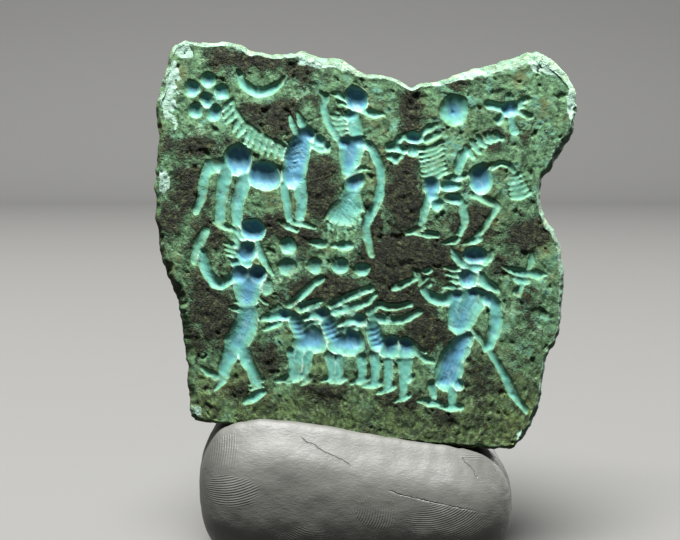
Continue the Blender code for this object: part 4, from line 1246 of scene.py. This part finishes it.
    def lay_back(self, net: Net, rim: np.ndarray) -> None:
        """Fills the rim with the rough, flaked back.

        Args:
            net: the slab's net.
            rim: the loop round the back.
        """
        step = self.back_coarseness
        across, up = self.cells_across // step, self.cells_up // step
        chosen = net.level > self.bevel_rings + self.side_rings
        back = self.spread(rim[::step], across, up)[net.cells(chosen, across, up)]
        flaked = smooth_step(self.back_flakes.at(back), -0.05, 0.06)
        height = (self.back_rise - self.thickness + self.back_waves.at(back) + self.back_grains.at(back)
                  + self.back_flake_step * flaked)
        crust = 0.28 + 0.35 * flaked + sum(pattern.at(back) for pattern in self.back_crust)
        bare = 0.55 * smooth_step(self.back_bare.at(back), 0.15, 0.6)
        net.lay(chosen, back, height, side=1.0, crust=crust, bare=bare)

    def stood(self, place: np.ndarray) -> np.ndarray:
        """Turns the slab upright, leans it back and centres it where the solid stands.

        Args:
            place: rows of millimetres across, up and above the face.

        Returns:
            The same points in metres, in the frame.
        """
        cosine, sine = math.cos(self.lean), math.sin(self.lean)
        upright = np.column_stack([place[:, 0], place[:, 1] * sine - place[:, 2] * cosine,
                                   place[:, 1] * cosine + place[:, 2] * sine]) * MM
        low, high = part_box("engraved_stone")
        centre = (np.array(low) + np.array(high)) / 2
        return upright + (centre - (upright.min(0) + upright.max(0)) / 2)

    def build(self) -> bpy.types.Object:
        """Makes the slab's mesh with its attributes and puts it where the solid stands.

        Returns:
            The finished piece, without a material.
        """
        piece = self.blank()
        net = Net.of(piece.data)
        silhouette, bevel = self.loops()
        inward = self.inward(silhouette)
        rim = bevel * (1.0 + self.rim_wander.at(silhouette)) + self.least_rim
        heights = self.lay_face(net, silhouette + inward * rim[:, None])
        self.lay_sides(net, silhouette, inward, rim, heights)
        self.lay_back(net, silhouette + inward * self.back_bevel)
        piece.data.vertices.foreach_set("co", self.stood(net.place).ravel())
        for name, values in net.skin.items():
            layer = piece.data.attributes.new(name, "FLOAT", "POINT")
            layer.data.foreach_set("value", values.astype(np.float32))
        piece.data.update()
        return finish_piece(piece, "engraved_stone_carved", 60.0)


def finish_piece(piece: bpy.types.Object, name: str, crease: float) -> bpy.types.Object:
    """Names a new piece, turns its faces outwards and shades it smooth.

    Args:
        piece: the object, whose place is already in its mesh.
        name: its new name.
        crease: the angle in degrees above which an edge stays sharp.

    Returns:
        The same object.
    """
    bpy.ops.object.select_all(action="DESELECT")
    piece.select_set(True)
    bpy.context.view_layer.objects.active = piece
    piece.name = name
    piece.data.name = name
    bpy.ops.object.mode_set(mode="EDIT")
    bpy.ops.mesh.select_all(action="SELECT")
    bpy.ops.mesh.normals_make_consistent(inside=False)
    bpy.ops.object.mode_set(mode="OBJECT")
    bpy.ops.object.shade_smooth_by_angle(angle=math.radians(crease))
    piece.data.materials.clear()
    return piece


@dataclass
class ClayRoll:
    """The hand-rolled clay: blunt ends, a flat underside and a seat pressed by the stone."""

    length: float = 65.0
    depth: float = 31.0
    height: float = 30.0
    fall: float = 6.8
    fall_start: float = 0.15
    flattening: float = 1.5
    shift: float = -2.2
    roundness: float = 2.4
    end_roundness: float = 8.0
    around: int = 256
    along: int = 230
    clearance: float = 0.12
    lip_height: float = 1.5
    lip_unevenness: Roughness = Roughness(6.0, 3, 17.0, 0.12)
    swell: Roughness = Roughness(11.0, 3, 3.0, 0.28)
    dents: Roughness = Roughness(2.6, 3, 7.0, 0.05)
    shrinkage: float = 0.22

    def top(self, x: np.ndarray) -> np.ndarray:
        """The roll's height at places along it.

        Args:
            x: the places, in millimetres across.

        Returns:
            One height for each.
        """
        share = (x - self.shift) / self.length + 0.5
        pressed = np.clip((share - self.fall_start) / (1.0 - self.fall_start), 0.0, 1.0)
        return self.height - self.fall * (0.5 - 0.5 * np.cos(math.pi * pressed))

    def lip(self, place: np.ndarray, slab: Slab) -> np.ndarray:
        """How far the clay is squeezed up, in two low lips along the stone's faces.

        Args:
            place: the roll's points in millimetres.
            slab: the stone that stands in the roll.

        Returns:
            The rise at each point.
        """
        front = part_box("engraved_stone")[0].y / MM + 0.6
        back = front + slab.thickness
        under = smooth_step(place[:, 0], -34.0, -29.0) * smooth_step(-place[:, 0], -31.0, -25.0)
        rise = (np.exp(-((place[:, 1] - front + 1.2) / 2.0) ** 2)
                + 0.8 * np.exp(-((place[:, 1] - back - 1.0) / 2.2) ** 2))
        ragged = 1.0 + self.lip_unevenness.at(place * (1.0, 0.3, 0.0))
        return self.lip_height * under * rise * ragged * (place[:, 2] > self.height * 0.5)

    def rolled(self, ball: np.ndarray) -> np.ndarray:
        """Draws the points of a ball out into the roll.

        Args:
            ball: points of a ball of radius 1, whose poles become the roll's ends.

        Returns:
            The roll's points in millimetres, before the stone is pressed in.
        """
        share = np.clip(ball[:, 2], -0.9995, 0.9995)
        angle = np.arctan2(-ball[:, 1], ball[:, 0])
        across, up = -np.sin(angle), np.cos(angle)
        power = 2.0 / self.roundness
        taper = np.sqrt(1.0 - np.abs(share) ** self.end_roundness)
        taper[np.abs(ball[:, 2]) > 0.99999] = 0.0
        x = self.shift + share * self.length / 2
        half = (self.top(x) + self.flattening) / 2
        y = self.depth / 2 * taper * np.sign(across) * np.abs(across) ** power
        z = self.top(x) - half + half * taper * np.sign(up) * np.abs(up) ** power
        place = np.column_stack([x, y, z])
        outward = np.column_stack([np.sign(share) * np.abs(share) ** 12, across * taper, up * taper])
        outward /= np.maximum(np.linalg.norm(outward, axis=1), 0.2)[:, None]
        return place + outward * (self.swell.at(place) + self.dents.at(place) - self.shrinkage)[:, None]

    def build(self, slab: Slab) -> bpy.types.Object:
        """Makes the roll from a ball and cuts the stone's seat into it.

        Args:
            slab: the stone that stands in the roll.

        Returns:
            The finished piece, without a material.
        """
        bpy.ops.object.select_all(action="DESELECT")
        bpy.ops.mesh.primitive_uv_sphere_add(segments=self.around, ring_count=self.along, radius=1.0)
        piece = bpy.context.object
        place = self.rolled(vertex_places(piece.data))
        place[:, 2] = np.maximum(place[:, 2] + self.lip(place, slab), 0.0)
        low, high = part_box("clay_roll")
        place[:, 0] += ((low.x + high.x) / 2 / MM) - (place[:, 0].min() + place[:, 0].max()) / 2
        piece.data.vertices.foreach_set("co", (place * MM).ravel())
        piece.data.update()
        self.press_seat(piece, slab)
        self.unroll(piece.data)
        return finish_piece(piece, "clay_roll_pressed", 50.0)

    def unroll(self, mesh: bpy.types.Mesh) -> None:
        """Stores each point's place along the roll and the way down its front from the top, in millimetres.

        Args:
            mesh: the roll's mesh, which gets the attribute.
        """
        place = vertex_places(mesh) / MM
        half = (self.top(place[:, 0]) + self.flattening) / 2
        above = (place[:, 2] - self.top(place[:, 0]) + half) / half
        around = np.arctan2(-place[:, 1] * 2 / self.depth, above) * self.depth / 2
        sheet = np.column_stack([place[:, 0], around, np.zeros(len(place))])
        layer = mesh.attributes.new("unrolled", "FLOAT_VECTOR", "POINT")
        layer.data.foreach_set("vector", sheet.astype(np.float32).ravel())

    def press_seat(self, piece: bpy.types.Object, slab: Slab) -> None:
        """Cuts the stone's outline and thickness, and a hair more, out of the roll.

        Args:
            piece: the roll, which is changed.
            slab: the stone that stands in it.
        """
        silhouette, _ = slab.loops()
        ring = (silhouette - slab.inward(silhouette) * self.clearance)[::4]
        corners = []
        for depth in (-self.clearance, slab.thickness + self.clearance):
            corners += [(x, depth, z) for x, z in ring]
        count = len(ring)
        sides = [(k, (k + 1) % count, (k + 1) % count + count, k + count) for k in range(count)]
        mesh = bpy.data.meshes.new("seat")
        mesh.from_pydata(corners, [], [tuple(range(count))[::-1], tuple(range(count, 2 * count)), *sides])
        mesh.transform(Matrix.Scale(MM, 4) @ Matrix.Rotation(-slab.lean, 4, "X"))
        low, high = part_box("engraved_stone")
        own = vertex_places(mesh)
        own_centre = Vector((own.min(0) + own.max(0)) / 2)
        mesh.transform(Matrix.Translation((Vector(low) + Vector(high)) / 2 - own_centre))
        cutter = bpy.data.objects.new("seat", mesh)
        bpy.context.collection.objects.link(cutter)
        bpy.context.view_layer.objects.active = piece
        cut = piece.modifiers.new("seat", "BOOLEAN")
        cut.object = cutter
        cut.operation = "DIFFERENCE"
        cut.solver = "EXACT"
        bpy.ops.object.modifier_apply(modifier=cut.name)
        bpy.data.objects.remove(cutter)


class Field:
    """A value or a colour that varies over a surface, on which plain arithmetic works."""

    def __init__(self, graph: "Graph", socket: bpy.types.NodeSocket) -> None:
        """Wraps one of the graph's sockets."""
        self.graph = graph
        self.socket = socket

    def __add__(self, other: "Field | float") -> "Field":
        """The sum."""
        return self.graph.calc("ADD", self, other)

    def __sub__(self, other: "Field | float") -> "Field":
        """The difference."""
        return self.graph.calc("SUBTRACT", self, other)

    def __rsub__(self, other: float) -> "Field":
        """A plain number less the field."""
        return self.graph.calc("SUBTRACT", other, self)

    def __mul__(self, other: "Field | float") -> "Field":
        """The product."""
        return self.graph.calc("MULTIPLY", self, other)

    def __abs__(self) -> "Field":
        """The size, without a sign."""
        return self.graph.calc("ABSOLUTE", self)

    def shaken(self, amount: float) -> "Field":
        """A noise centred on zero and scaled, to roughen the border of a patch."""
        return (self - 0.5) * amount

    def step(self, low: float, high: float) -> "Field":
        """Rises smoothly from 0 to 1.

        Args:
            low: the value where it is 0.
            high: the value where it is 1, which may be the smaller.

        Returns:
            The new field.
        """
        node = self.graph.add("ShaderNodeMapRange", interpolation_type="SMOOTHSTEP")
        self.graph.feed(node, {"Value": self, "From Min": low, "From Max": high})
        return Field(self.graph, node.outputs["Result"])


class Graph:
    """A small helper that adds and joins shader nodes."""

    def __init__(self, name: str) -> None:
        """Starts a material with the given name."""
        self.material = bpy.data.materials.new(name)
        self.material.use_nodes = True
        self.tree = self.material.node_tree
        self.shader = self.tree.nodes["Principled BSDF"]

    def add(self, kind: str, **settings: object) -> bpy.types.Node:
        """Adds a node.

        Args:
            kind: which node it is.
            settings: its own settings, by name.

        Returns:
            The new node.
        """
        node = self.tree.nodes.new(kind)
        for name, value in settings.items():
            setattr(node, name, value)
        return node

    def feed(self, node: bpy.types.Node, values: dict[str | int, object]) -> None:
        """Joins a node's inputs to fields, or sets them to tones or plain values.

        Args:
            node: the node.
            values: what each input gets, by the input's name or number.
        """
        for name, value in values.items():
            if isinstance(value, Field):
                self.tree.links.new(value.socket, node.inputs[name])
            else:
                node.inputs[name].default_value = value.linear() if isinstance(value, Tone) else value

    def dress(self, **values: object) -> None:
        """Feeds the material's shader. An underscore in a name stands for a space."""
        self.feed(self.shader, {name.replace("_", " "): value for name, value in values.items()})

    def attribute(self, name: str, output: str = "Fac") -> Field:
        """Reads one of the mesh's own attributes."""
        return Field(self, self.add("ShaderNodeAttribute", attribute_name=name).outputs[output])

    def objects(self) -> Field:
        """The object coordinates in metres, turned askew so that no noise lines up with a face."""
        node = self.add("ShaderNodeMapping")
        self.feed(node, {"Vector": Field(self, self.add("ShaderNodeTexCoord").outputs["Object"]),
                         "Rotation": NOISE_ANGLES})
        return Field(self, node.outputs["Vector"])

    def mapped(self, vector: Field, place: tuple[float, float, float] = (0.0, 0.0, 0.0), turn: float = 0.0,
               scale: tuple[float, float, float] = (1.0, 1.0, 1.0)) -> Field:
        """Moves, turns and scales coordinates.

        Args:
            vector: the coordinates.
            place: the point that becomes their origin.
            turn: how far they are turned about Z.
            scale: how they are scaled at last.

        Returns:
            The new coordinates.
        """
        moved = self.add("ShaderNodeVectorMath", operation="SUBTRACT")
        self.feed(moved, {0: vector, 1: place})
        node = self.add("ShaderNodeMapping")
        self.feed(node, {"Vector": Field(self, moved.outputs[0]), "Rotation": (0.0, 0.0, turn),
                         "Scale": scale})
        return Field(self, node.outputs["Vector"])

    def noise(self, vector: Field, scale: float, detail: float, roughness: float,
              distortion: float = 0.0) -> Field:
        """Fractal noise from 0 to 1.

        Args:
            vector: the coordinates that it follows.
            scale: how many bumps there are to a unit.
            detail: how many finer layers are added.
            roughness: how strong the finer layers are.
            distortion: how far it is stirred.

        Returns:
            The noise.
        """
        node = self.add("ShaderNodeTexNoise")
        self.feed(node, {"Vector": vector, "Scale": scale, "Detail": detail, "Roughness": roughness,
                         "Distortion": distortion})
        return Field(self, node.outputs["Fac"])

    def calc(self, operation: str, first: Field | float, second: Field | float = 0.0) -> Field:
        """One step of arithmetic.

        Args:
            operation: which step it is.
            first: the first value.
            second: the second value, if the step takes one.

        Returns:
            The result.
        """
        node = self.add("ShaderNodeMath", operation=operation)
        self.feed(node, {0: first, 1: second})
        return Field(self, node.outputs[0])

    def mix(self, share: Field | float, first: Field | Tone, second: Field | Tone) -> Field:
        """Mixes two colours.

        Args:
            share: the second colour's share.
            first: the colour where the share is 0.
            second: the colour where the share is 1.

        Returns:
            The mixed colour.
        """
        node = self.add("ShaderNodeMix", data_type="RGBA")
        self.feed(node, {0: share, 6: first, 7: second})
        return Field(self, node.outputs[2])

    def bump(self, height: Field, distance: float) -> Field:
        """Tilts the surface.

        Args:
            height: the height that tilts it.
            distance: how many metres a height of 1 is.

        Returns:
            The surface's new direction.
        """
        node = self.add("ShaderNodeBump")
        self.feed(node, {"Strength": 1.0, "Distance": distance, "Height": height})
        return Field(self, node.outputs["Normal"])


class StonePatterns:
    """What the stone's colours share: the mesh's own values, and noises of several sizes."""

    def __init__(self, graph: Graph) -> None:
        """Adds the patterns to the stone's graph."""
        self.graph = graph
        self.where = graph.objects()
        self.cut, self.crust, self.bare, self.ridge, self.side, self.moss = map(graph.attribute, SKIN_VALUES)
        self.cloud = graph.noise(self.where, 120.0, 4.0, 0.6)
        self.coarse = graph.noise(self.where, 260.0, 5.0, 0.6)
        self.middle = graph.noise(self.where, 806.0, 5.0, 0.66)
        self.grain = graph.noise(self.where, 1600.0, 4.0, 0.7)
        self.speck = graph.noise(self.where, 3040.0, 3.0, 0.6)
        self.fibres = graph.noise(self.where, 1250.0, 5.0, 0.72, 1.6)
        self.streaks = graph.noise(graph.mapped(self.where, scale=(1.0, 1.0, 0.28)), 900.0, 3.0, 0.6)
        self.stains = graph.noise(self.where, 420.0, 5.0, 0.65)


@dataclass(frozen=True)
class StoneFinish:
    """Green copper stone: dark crust and green skin, turquoise cuts that turn blue where deep, pale rims
    with painted light on the top and right ones, and a painted highlight on the ridges inside the cuts.
    """

    gloss: float = 0.18
    fine_relief: float = 0.00042

    def green(self, on: StonePatterns) -> Field:
        """The green skin: mottled, bluer or paler in patches, olive in others, and mossy low down.

        Args:
            on: the stone's patterns.

        Returns:
            The colour.
        """
        mix = on.graph.mix
        bluer = mix(on.middle.step(0.4, 0.6), Tone.GREEN, Tone.BLUE_GREEN)
        green = mix(on.middle.step(0.38, 0.58), Tone.GREEN_DEEP, Tone.GREEN)
        green = mix(on.coarse.step(0.50, 0.62), green, bluer)
        green = mix(on.fibres.step(0.50, 0.38) * 0.3, green, Tone.GREEN_DEEP)
        green = mix(on.cloud.step(0.52, 0.70) * on.middle.step(0.46, 0.66), green, Tone.GREEN_PALE)
        green = mix(on.cloud.step(0.50, 0.36) * on.coarse.step(0.40, 0.60), green, Tone.CRUST_OLIVE)
        green = mix(on.moss, green, mix(on.middle.step(0.42, 0.6), Tone.CRUST_BROWN, Tone.MOSS))
        return mix(on.grain.step(0.52, 0.68) * 0.35, green, Tone.GREEN_PALE)

    def crust(self, on: StonePatterns) -> Field:
        """The dark crust, with paler fibres in it.

        Args:
            on: the stone's patterns.

        Returns:
            The colour.
        """
        dark = on.graph.mix(on.fibres.step(0.44, 0.60), Tone.CRUST_DARK, Tone.CRUST_BROWN)
        dark = on.graph.mix(on.middle.step(0.50, 0.70) * 0.6, dark, Tone.CRUST_OLIVE)
        return on.graph.mix(on.fibres.step(0.58, 0.72) * 0.7, dark, Tone.CRUST_PALE)

    def fresh_and_painted_light(self, on: StonePatterns) -> Field:
        """The pale mineral where the stone is chipped, which also paints the light on the top and right
        rims.
        """
        pale = on.graph.mix(on.middle.step(0.40, 0.62), Tone.BARE_CREAM, Tone.BARE)
        return on.graph.mix((on.bare + on.coarse.shaken(1.4)).step(0.55, 0.95), Tone.GREEN_PALE, pale)

    def carved(self, on: StonePatterns) -> Field:
        """The inside of the cuts: bluer with depth, streaked, and stained where shallow.

        Args:
            on: the stone's patterns.

        Returns:
            The colour.
        """
        mix = on.graph.mix
        inside = mix(on.cut.step(0.2, 0.7), Tone.CUT_SHALLOW, Tone.CUT_MIDDLE)
        inside = mix(on.cut.step(0.75, 1.35), inside, Tone.CUT_DEEP)
        inside = mix(on.streaks.step(0.5, 0.75) * 0.3, inside, Tone.CUT_LIP)
        stain = mix(on.coarse.step(0.45, 0.55), Tone.GREEN, Tone.CRUST_OLIVE)
        return mix(on.stains.step(0.50, 0.68) * on.cut.step(1.3, 0.3) * 0.75, inside, stain)

    def material(self) -> bpy.types.Material:
        """Builds the stone's material.

        Returns:
            The material, which reads the mesh's attributes and object coordinates.
        """
        graph = Graph("green_stone")
        on = StonePatterns(graph)
        dark, pale = self.crust(on), self.fresh_and_painted_light(on)
        cover = on.crust + on.middle.shaken(1.3) + on.speck.shaken(0.65)
        crusted = cover.step(0.24, 0.58)
        # On the sides the bare value also carries painted light on the top and right rims, so this mask
        # paints it in the pale colour.
        chipped_and_painted_light = (on.bare + on.middle.shaken(1.2) + on.speck.shaken(0.5)).step(0.38, 0.66)
        worked = (on.cut + on.speck.shaken(0.3) + on.middle.shaken(0.3)).step(0.06, 0.30)
        skin = graph.mix(crusted, self.green(on), dark)
        skin = graph.mix(chipped_and_painted_light, skin, graph.mix(0.6, pale, Tone.CUT_LIP))
        face = graph.mix(worked, skin, self.carved(on))
        # Painted highlight: sharp ridges inside the cuts get the pale tone.
        face = graph.mix(on.ridge.step(0.04, 0.16) * on.cut.step(0.1, 0.3) * 0.7, face, Tone.CUT_LIP)
        broken = graph.mix(on.middle.step(0.4, 0.62), Tone.GREEN, Tone.CRUST_OLIVE)
        broken = graph.mix(cover.step(0.35, 0.8), broken, dark)
        broken = graph.mix(chipped_and_painted_light, broken, pale)
        relief = (on.grain + on.speck * 0.5) * (crusted + 0.45) * (1.0 - worked * 0.85)
        graph.dress(Base_Color=graph.mix(on.side, face, broken),
                    Roughness=worked * -0.26 + (on.grain * 0.25 + 0.62),
                    Normal=graph.bump(relief, self.fine_relief))
        graph.shader.inputs["Specular IOR Level"].default_value = self.gloss
        return graph.material


@dataclass(frozen=True)
class ClayFinish:
    """Grey modelling clay, satin, marked by the ridges of the fingers that rolled it.

    The prints' rows are the middle along and round the roll, half the length, half the height, the ridges'
    direction in degrees and how far off their arcs' middle lies. The creases' rows are the middle along and
    round the roll, half the length and the direction in degrees.
    """

    ridge_pitch: float = 0.5
    ridge_height: float = 0.000064
    ring_scale: float = 0.314
    crease_half: float = 0.22
    crease_depth: float = 2.4
    gloss: float = 0.4
    prints: tuple[tuple[float, float, float, float, float, float], ...] = (
        (16.0, 25.0, 8.6, 5.4, 62.0, 14.0),
        (1.7, 24.0, 4.6, 4.2, 8.0, 9.0),
        (-28.9, 14.0, 4.2, 5.2, 5.0, 30.0),
        (-26.9, 21.3, 6.5, 3.8, 82.0, 16.0),
        (-10.0, -20.0, 9.0, 6.0, 60.0, 12.0),
        (12.0, -12.0, 8.0, 6.0, 100.0, 14.0),
        (-20.0, -26.0, 8.0, 6.0, 20.0, 12.0),
        (22.0, 6.0, 6.0, 4.0, 75.0, 20.0),
        (-12.0, 33.0, 8.0, 5.0, 100.0, 14.0),
    )
    creases: tuple[tuple[float, float, float, float], ...] = (
        (-8.0, 12.7, 5.8, 23.0),
        (12.7, 20.2, 9.1, 9.0),
        (20.5, 11.5, 2.6, 55.0),
        (-6.0, -16.0, 7.0, -12.0),
    )

    def material(self) -> bpy.types.Material:
        """Builds the clay's material.

        Returns:
            The material. Its prints follow the roll's unrolled surface, in millimetres.
        """
        graph = Graph("grey_clay")
        where = graph.objects()
        sheet = graph.attribute("unrolled", "Vector")
        cloud = graph.noise(where, 90.0, 4.0, 0.55)
        fine = graph.noise(where, 1900.0, 3.0, 0.6)
        skin = graph.noise(graph.mapped(sheet, turn=0.3, scale=(0.8, 1.7, 0.0)), 1.1, 3.0, 0.6, 0.8)
        colour = graph.mix(cloud.step(0.35, 0.65), Tone.CLAY, Tone.CLAY_PALE)
        height = fine * 0.25 + skin * 1.2
        for row in self.prints:
            height = height + self.fingerprint(graph, sheet, *row)
        for row in self.creases:
            height = height - self.crease(graph, sheet, *row)
        graph.dress(Base_Color=graph.mix(fine.step(0.62, 0.8) * 0.35, colour, Tone.CLAY_DARK),
                    Roughness=cloud * 0.2 + 0.42,
                    Normal=graph.bump(height, self.ridge_height))
        graph.shader.inputs["Specular IOR Level"].default_value = self.gloss
        return graph.material

    def crease(self, graph: Graph, sheet: Field, u: float, v: float, reach: float, turn: float) -> Field:
        """A fine crease that wavers a little.

        Args:
            graph: the material being built.
            sheet: the unrolled coordinates, in millimetres.
            u: the crease's middle along the roll.
            v: its middle round the roll.
            reach: half its length.
            turn: its direction in degrees.

        Returns:
            The crease's depth, 0 beside it.
        """
        line = graph.add("ShaderNodeSeparateXYZ")
        graph.feed(line, {0: graph.mapped(sheet, (u, v, 0.0), math.radians(-turn), (1.0, 1.0, 0.0))})
        along, aside = (Field(graph, line.outputs[axis]) for axis in "XY")
        wavering = graph.noise(sheet, 0.45, 3.0, 0.6).shaken(1.6)
        inside = abs(along).step(reach, reach * 0.8)
        return abs(aside + wavering).step(self.crease_half, 0.0) * inside * self.crease_depth

    def fingerprint(self, graph: Graph, sheet: Field, u: float, v: float, wide: float, tall: float,
                    turn: float, loop: float) -> Field:
        """One patch of curved ridges.

        Args:
            graph: the material being built.
            sheet: the unrolled coordinates, in millimetres.
            u: the patch's middle along the roll.
            v: its middle round the roll.
            wide: half its length.
            tall: half its height.
            turn: the ridges' direction in degrees.
            loop: how far off the middle of the ridges' arcs lies.

        Returns:
            The ridges' height, 0 outside the patch.
        """
        length = graph.add("ShaderNodeVectorMath", operation="LENGTH")
        graph.feed(length, {0: graph.mapped(sheet, (u, v, 0.0), scale=(1.0 / wide, 1.0 / tall, 0.0))})
        ragged = graph.noise(sheet, 0.35, 3.0, 0.6).shaken(0.9)
        mask = (Field(graph, length.outputs["Value"]) + ragged).step(1.0, 0.72)
        angle = math.radians(turn)
        middle = (u - loop * math.cos(angle), v - loop * math.sin(angle), 0.0)
        wave = graph.add("ShaderNodeTexWave", wave_type="RINGS", rings_direction="Z", wave_profile="SIN")
        graph.feed(wave, {"Vector": graph.mapped(sheet, middle, scale=(1.0, 1.0, 0.0)),
                          "Scale": self.ring_scale / self.ridge_pitch, "Distortion": 1.6, "Detail": 2.0,
                          "Detail Scale": 0.35, "Detail Roughness": 0.6})
        return Field(graph, wave.outputs["Fac"]) * mask


@dataclass(frozen=True)
class FloorFinish:
    """A pale matt sheet that runs up into the backdrop."""

    roughness: float = 0.85

    def material(self) -> bpy.types.Material:
        """Builds the floor's material.

        Returns:
            The material.
        """
        graph = Graph("pale_floor")
        graph.dress(Base_Color=Tone.FLOOR, Roughness=self.roughness)
        return graph.material


@dataclass(frozen=True)
class Lamp:
    """A soft square lamp: its name, its place from what it looks at, its side in metres and its watts."""

    name: str
    offset: tuple[float, float, float]
    size: float
    energy: float

    def hang(self, target: Vector, lit: list[bpy.types.Object]) -> None:
        """Hangs the lamp.

        Args:
            target: the point it looks at.
            lit: the only objects that it lights.
        """
        data = bpy.data.lights.new(self.name, "AREA")
        data.size = self.size
        data.energy = self.energy
        lamp = bpy.data.objects.new(self.name, data)
        bpy.context.scene.collection.objects.link(lamp)
        lamp.location = target + Vector(self.offset)
        lamp.rotation_euler = (target - lamp.location).to_track_quat("-Z", "Y").to_euler()
        group = bpy.data.collections.new(f"{self.name}_lights")
        for piece in lit:
            group.objects.link(piece)
        lamp.light_linking.receiver_collection = group


@dataclass
class Studio:
    """The pale floor, the soft lights and the camera. Its lengths are in metres, but for the aim's."""

    distance: float = 0.215
    elevation: float = math.radians(6.5)
    view_width: float = 0.136
    aim: tuple[float, float] = (-5.3, 36.4)
    floor_size: tuple[float, float] = (2.24, 1.4)
    floor_gap: float = 0.00002
    sweep: float = 0.35
    sweep_steps: int = 12
    wall: float = 1.6
    key: Lamp = Lamp("key", (-0.02, -0.115, 0.445), 0.13, 10.0)
    floor_light: Lamp = Lamp("floor_light", (-0.3, -0.6, 2.0), 1.2, 44.0)
    back_light: Lamp = Lamp("back_light", (0.30, 0.30, 0.24), 0.25, 5.0)
    sky: tuple[float, float, float, float] = (0.92, 0.94, 1.0, 1.0)
    sky_strength: float = 0.07

    def floor(self) -> bpy.types.Object:
        """A sheet that lies flat round the object and curves up behind it.

        Returns:
            The floor, which throws no light back on the object.
        """
        bpy.ops.object.select_all(action="DESELECT")
        bpy.ops.mesh.primitive_plane_add(size=2.0)
        piece = bpy.context.object
        for vertex in piece.data.vertices:
            vertex.co.x *= self.floor_size[0]
            vertex.co.y *= self.floor_size[1]
            vertex.co.z -= self.floor_gap
        bpy.ops.object.mode_set(mode="EDIT")
        bpy.ops.mesh.select_mode(type="EDGE")
        bpy.ops.mesh.select_all(action="DESELECT")
        bpy.ops.object.mode_set(mode="OBJECT")
        for edge in piece.data.edges:
            edge.select = all(piece.data.vertices[k].co.y > 0 for k in edge.vertices)
        bpy.ops.object.mode_set(mode="EDIT")
        size = self.sweep * math.pi / 2 / self.sweep_steps
        for i in range(self.sweep_steps):
            angle = math.pi / 2 * (i + 0.5) / self.sweep_steps
            bpy.ops.mesh.extrude_edges_move(TRANSFORM_OT_translate={
                "value": (0.0, math.cos(angle) * size, math.sin(angle) * size)})
        bpy.ops.mesh.extrude_edges_move(TRANSFORM_OT_translate={"value": (0.0, 0.0, self.wall)})
        bpy.ops.object.mode_set(mode="OBJECT")
        piece.name = "pale_floor"
        piece.data.materials.append(FloorFinish().material())
        piece.visible_diffuse = False
        bpy.ops.object.shade_smooth()
        return piece

    def camera(self, target: Vector) -> None:
        """Adds the camera.

        Args:
            target: the point it looks at.
        """
        back = Vector((0.0, -math.cos(self.elevation), math.sin(self.elevation)))
        data = bpy.data.cameras.new("camera")
        data.lens = data.sensor_width * self.distance / self.view_width
        data.clip_start = 0.01
        camera = bpy.data.objects.new("camera", data)
        bpy.context.scene.collection.objects.link(camera)
        camera.location = target + back * self.distance
        camera.rotation_euler = (-back).to_track_quat("-Z", "Y").to_euler()
        bpy.context.scene.camera = camera

    def set_up(self, slab: Slab, pieces: list[bpy.types.Object]) -> None:
        """Adds the floor, the lights, the world and the camera.

        Args:
            slab: the stone, whose lean and place the camera aims by.
            pieces: the finished pieces, which the key and the back light are for.
        """
        floor = self.floor()
        low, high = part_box("engraved_stone")
        across, up = self.aim[0] * MM, self.aim[1] * MM
        foot = high.z - slab.height * MM * math.cos(slab.lean)
        target = Vector((across, low.y + up * math.sin(slab.lean), foot + up * math.cos(slab.lean)))
        self.camera(target)
        self.key.hang(target, pieces)
        self.floor_light.hang(target, [floor])
        self.back_light.hang(target, pieces)
        world = bpy.data.worlds.new("studio")
        bpy.context.scene.world = world
        world.use_nodes = True
        background = world.node_tree.nodes["Background"]
        background.inputs["Color"].default_value = self.sky
        background.inputs["Strength"].default_value = self.sky_strength
        bpy.context.scene.view_settings.view_transform = "Standard"


def main() -> None:
    """Builds the stone, the clay and the studio, in that order."""
    logging.basicConfig(level=logging.INFO, format="%(message)s")
    slab = Slab()
    stone = slab.build()
    stone.data.materials.append(StoneFinish().material())
    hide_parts("engraved_stone")
    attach(stone, "root")
    LOG.info("stone: %d faces", len(stone.data.polygons))
    clay = ClayRoll().build(slab)
    clay.data.materials.append(ClayFinish().material())
    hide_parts("clay_roll")
    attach(clay, "root")
    LOG.info("clay: %d faces", len(clay.data.polygons))
    Studio().set_up(slab, [stone, clay])


if __name__ == "__main__":
    main()
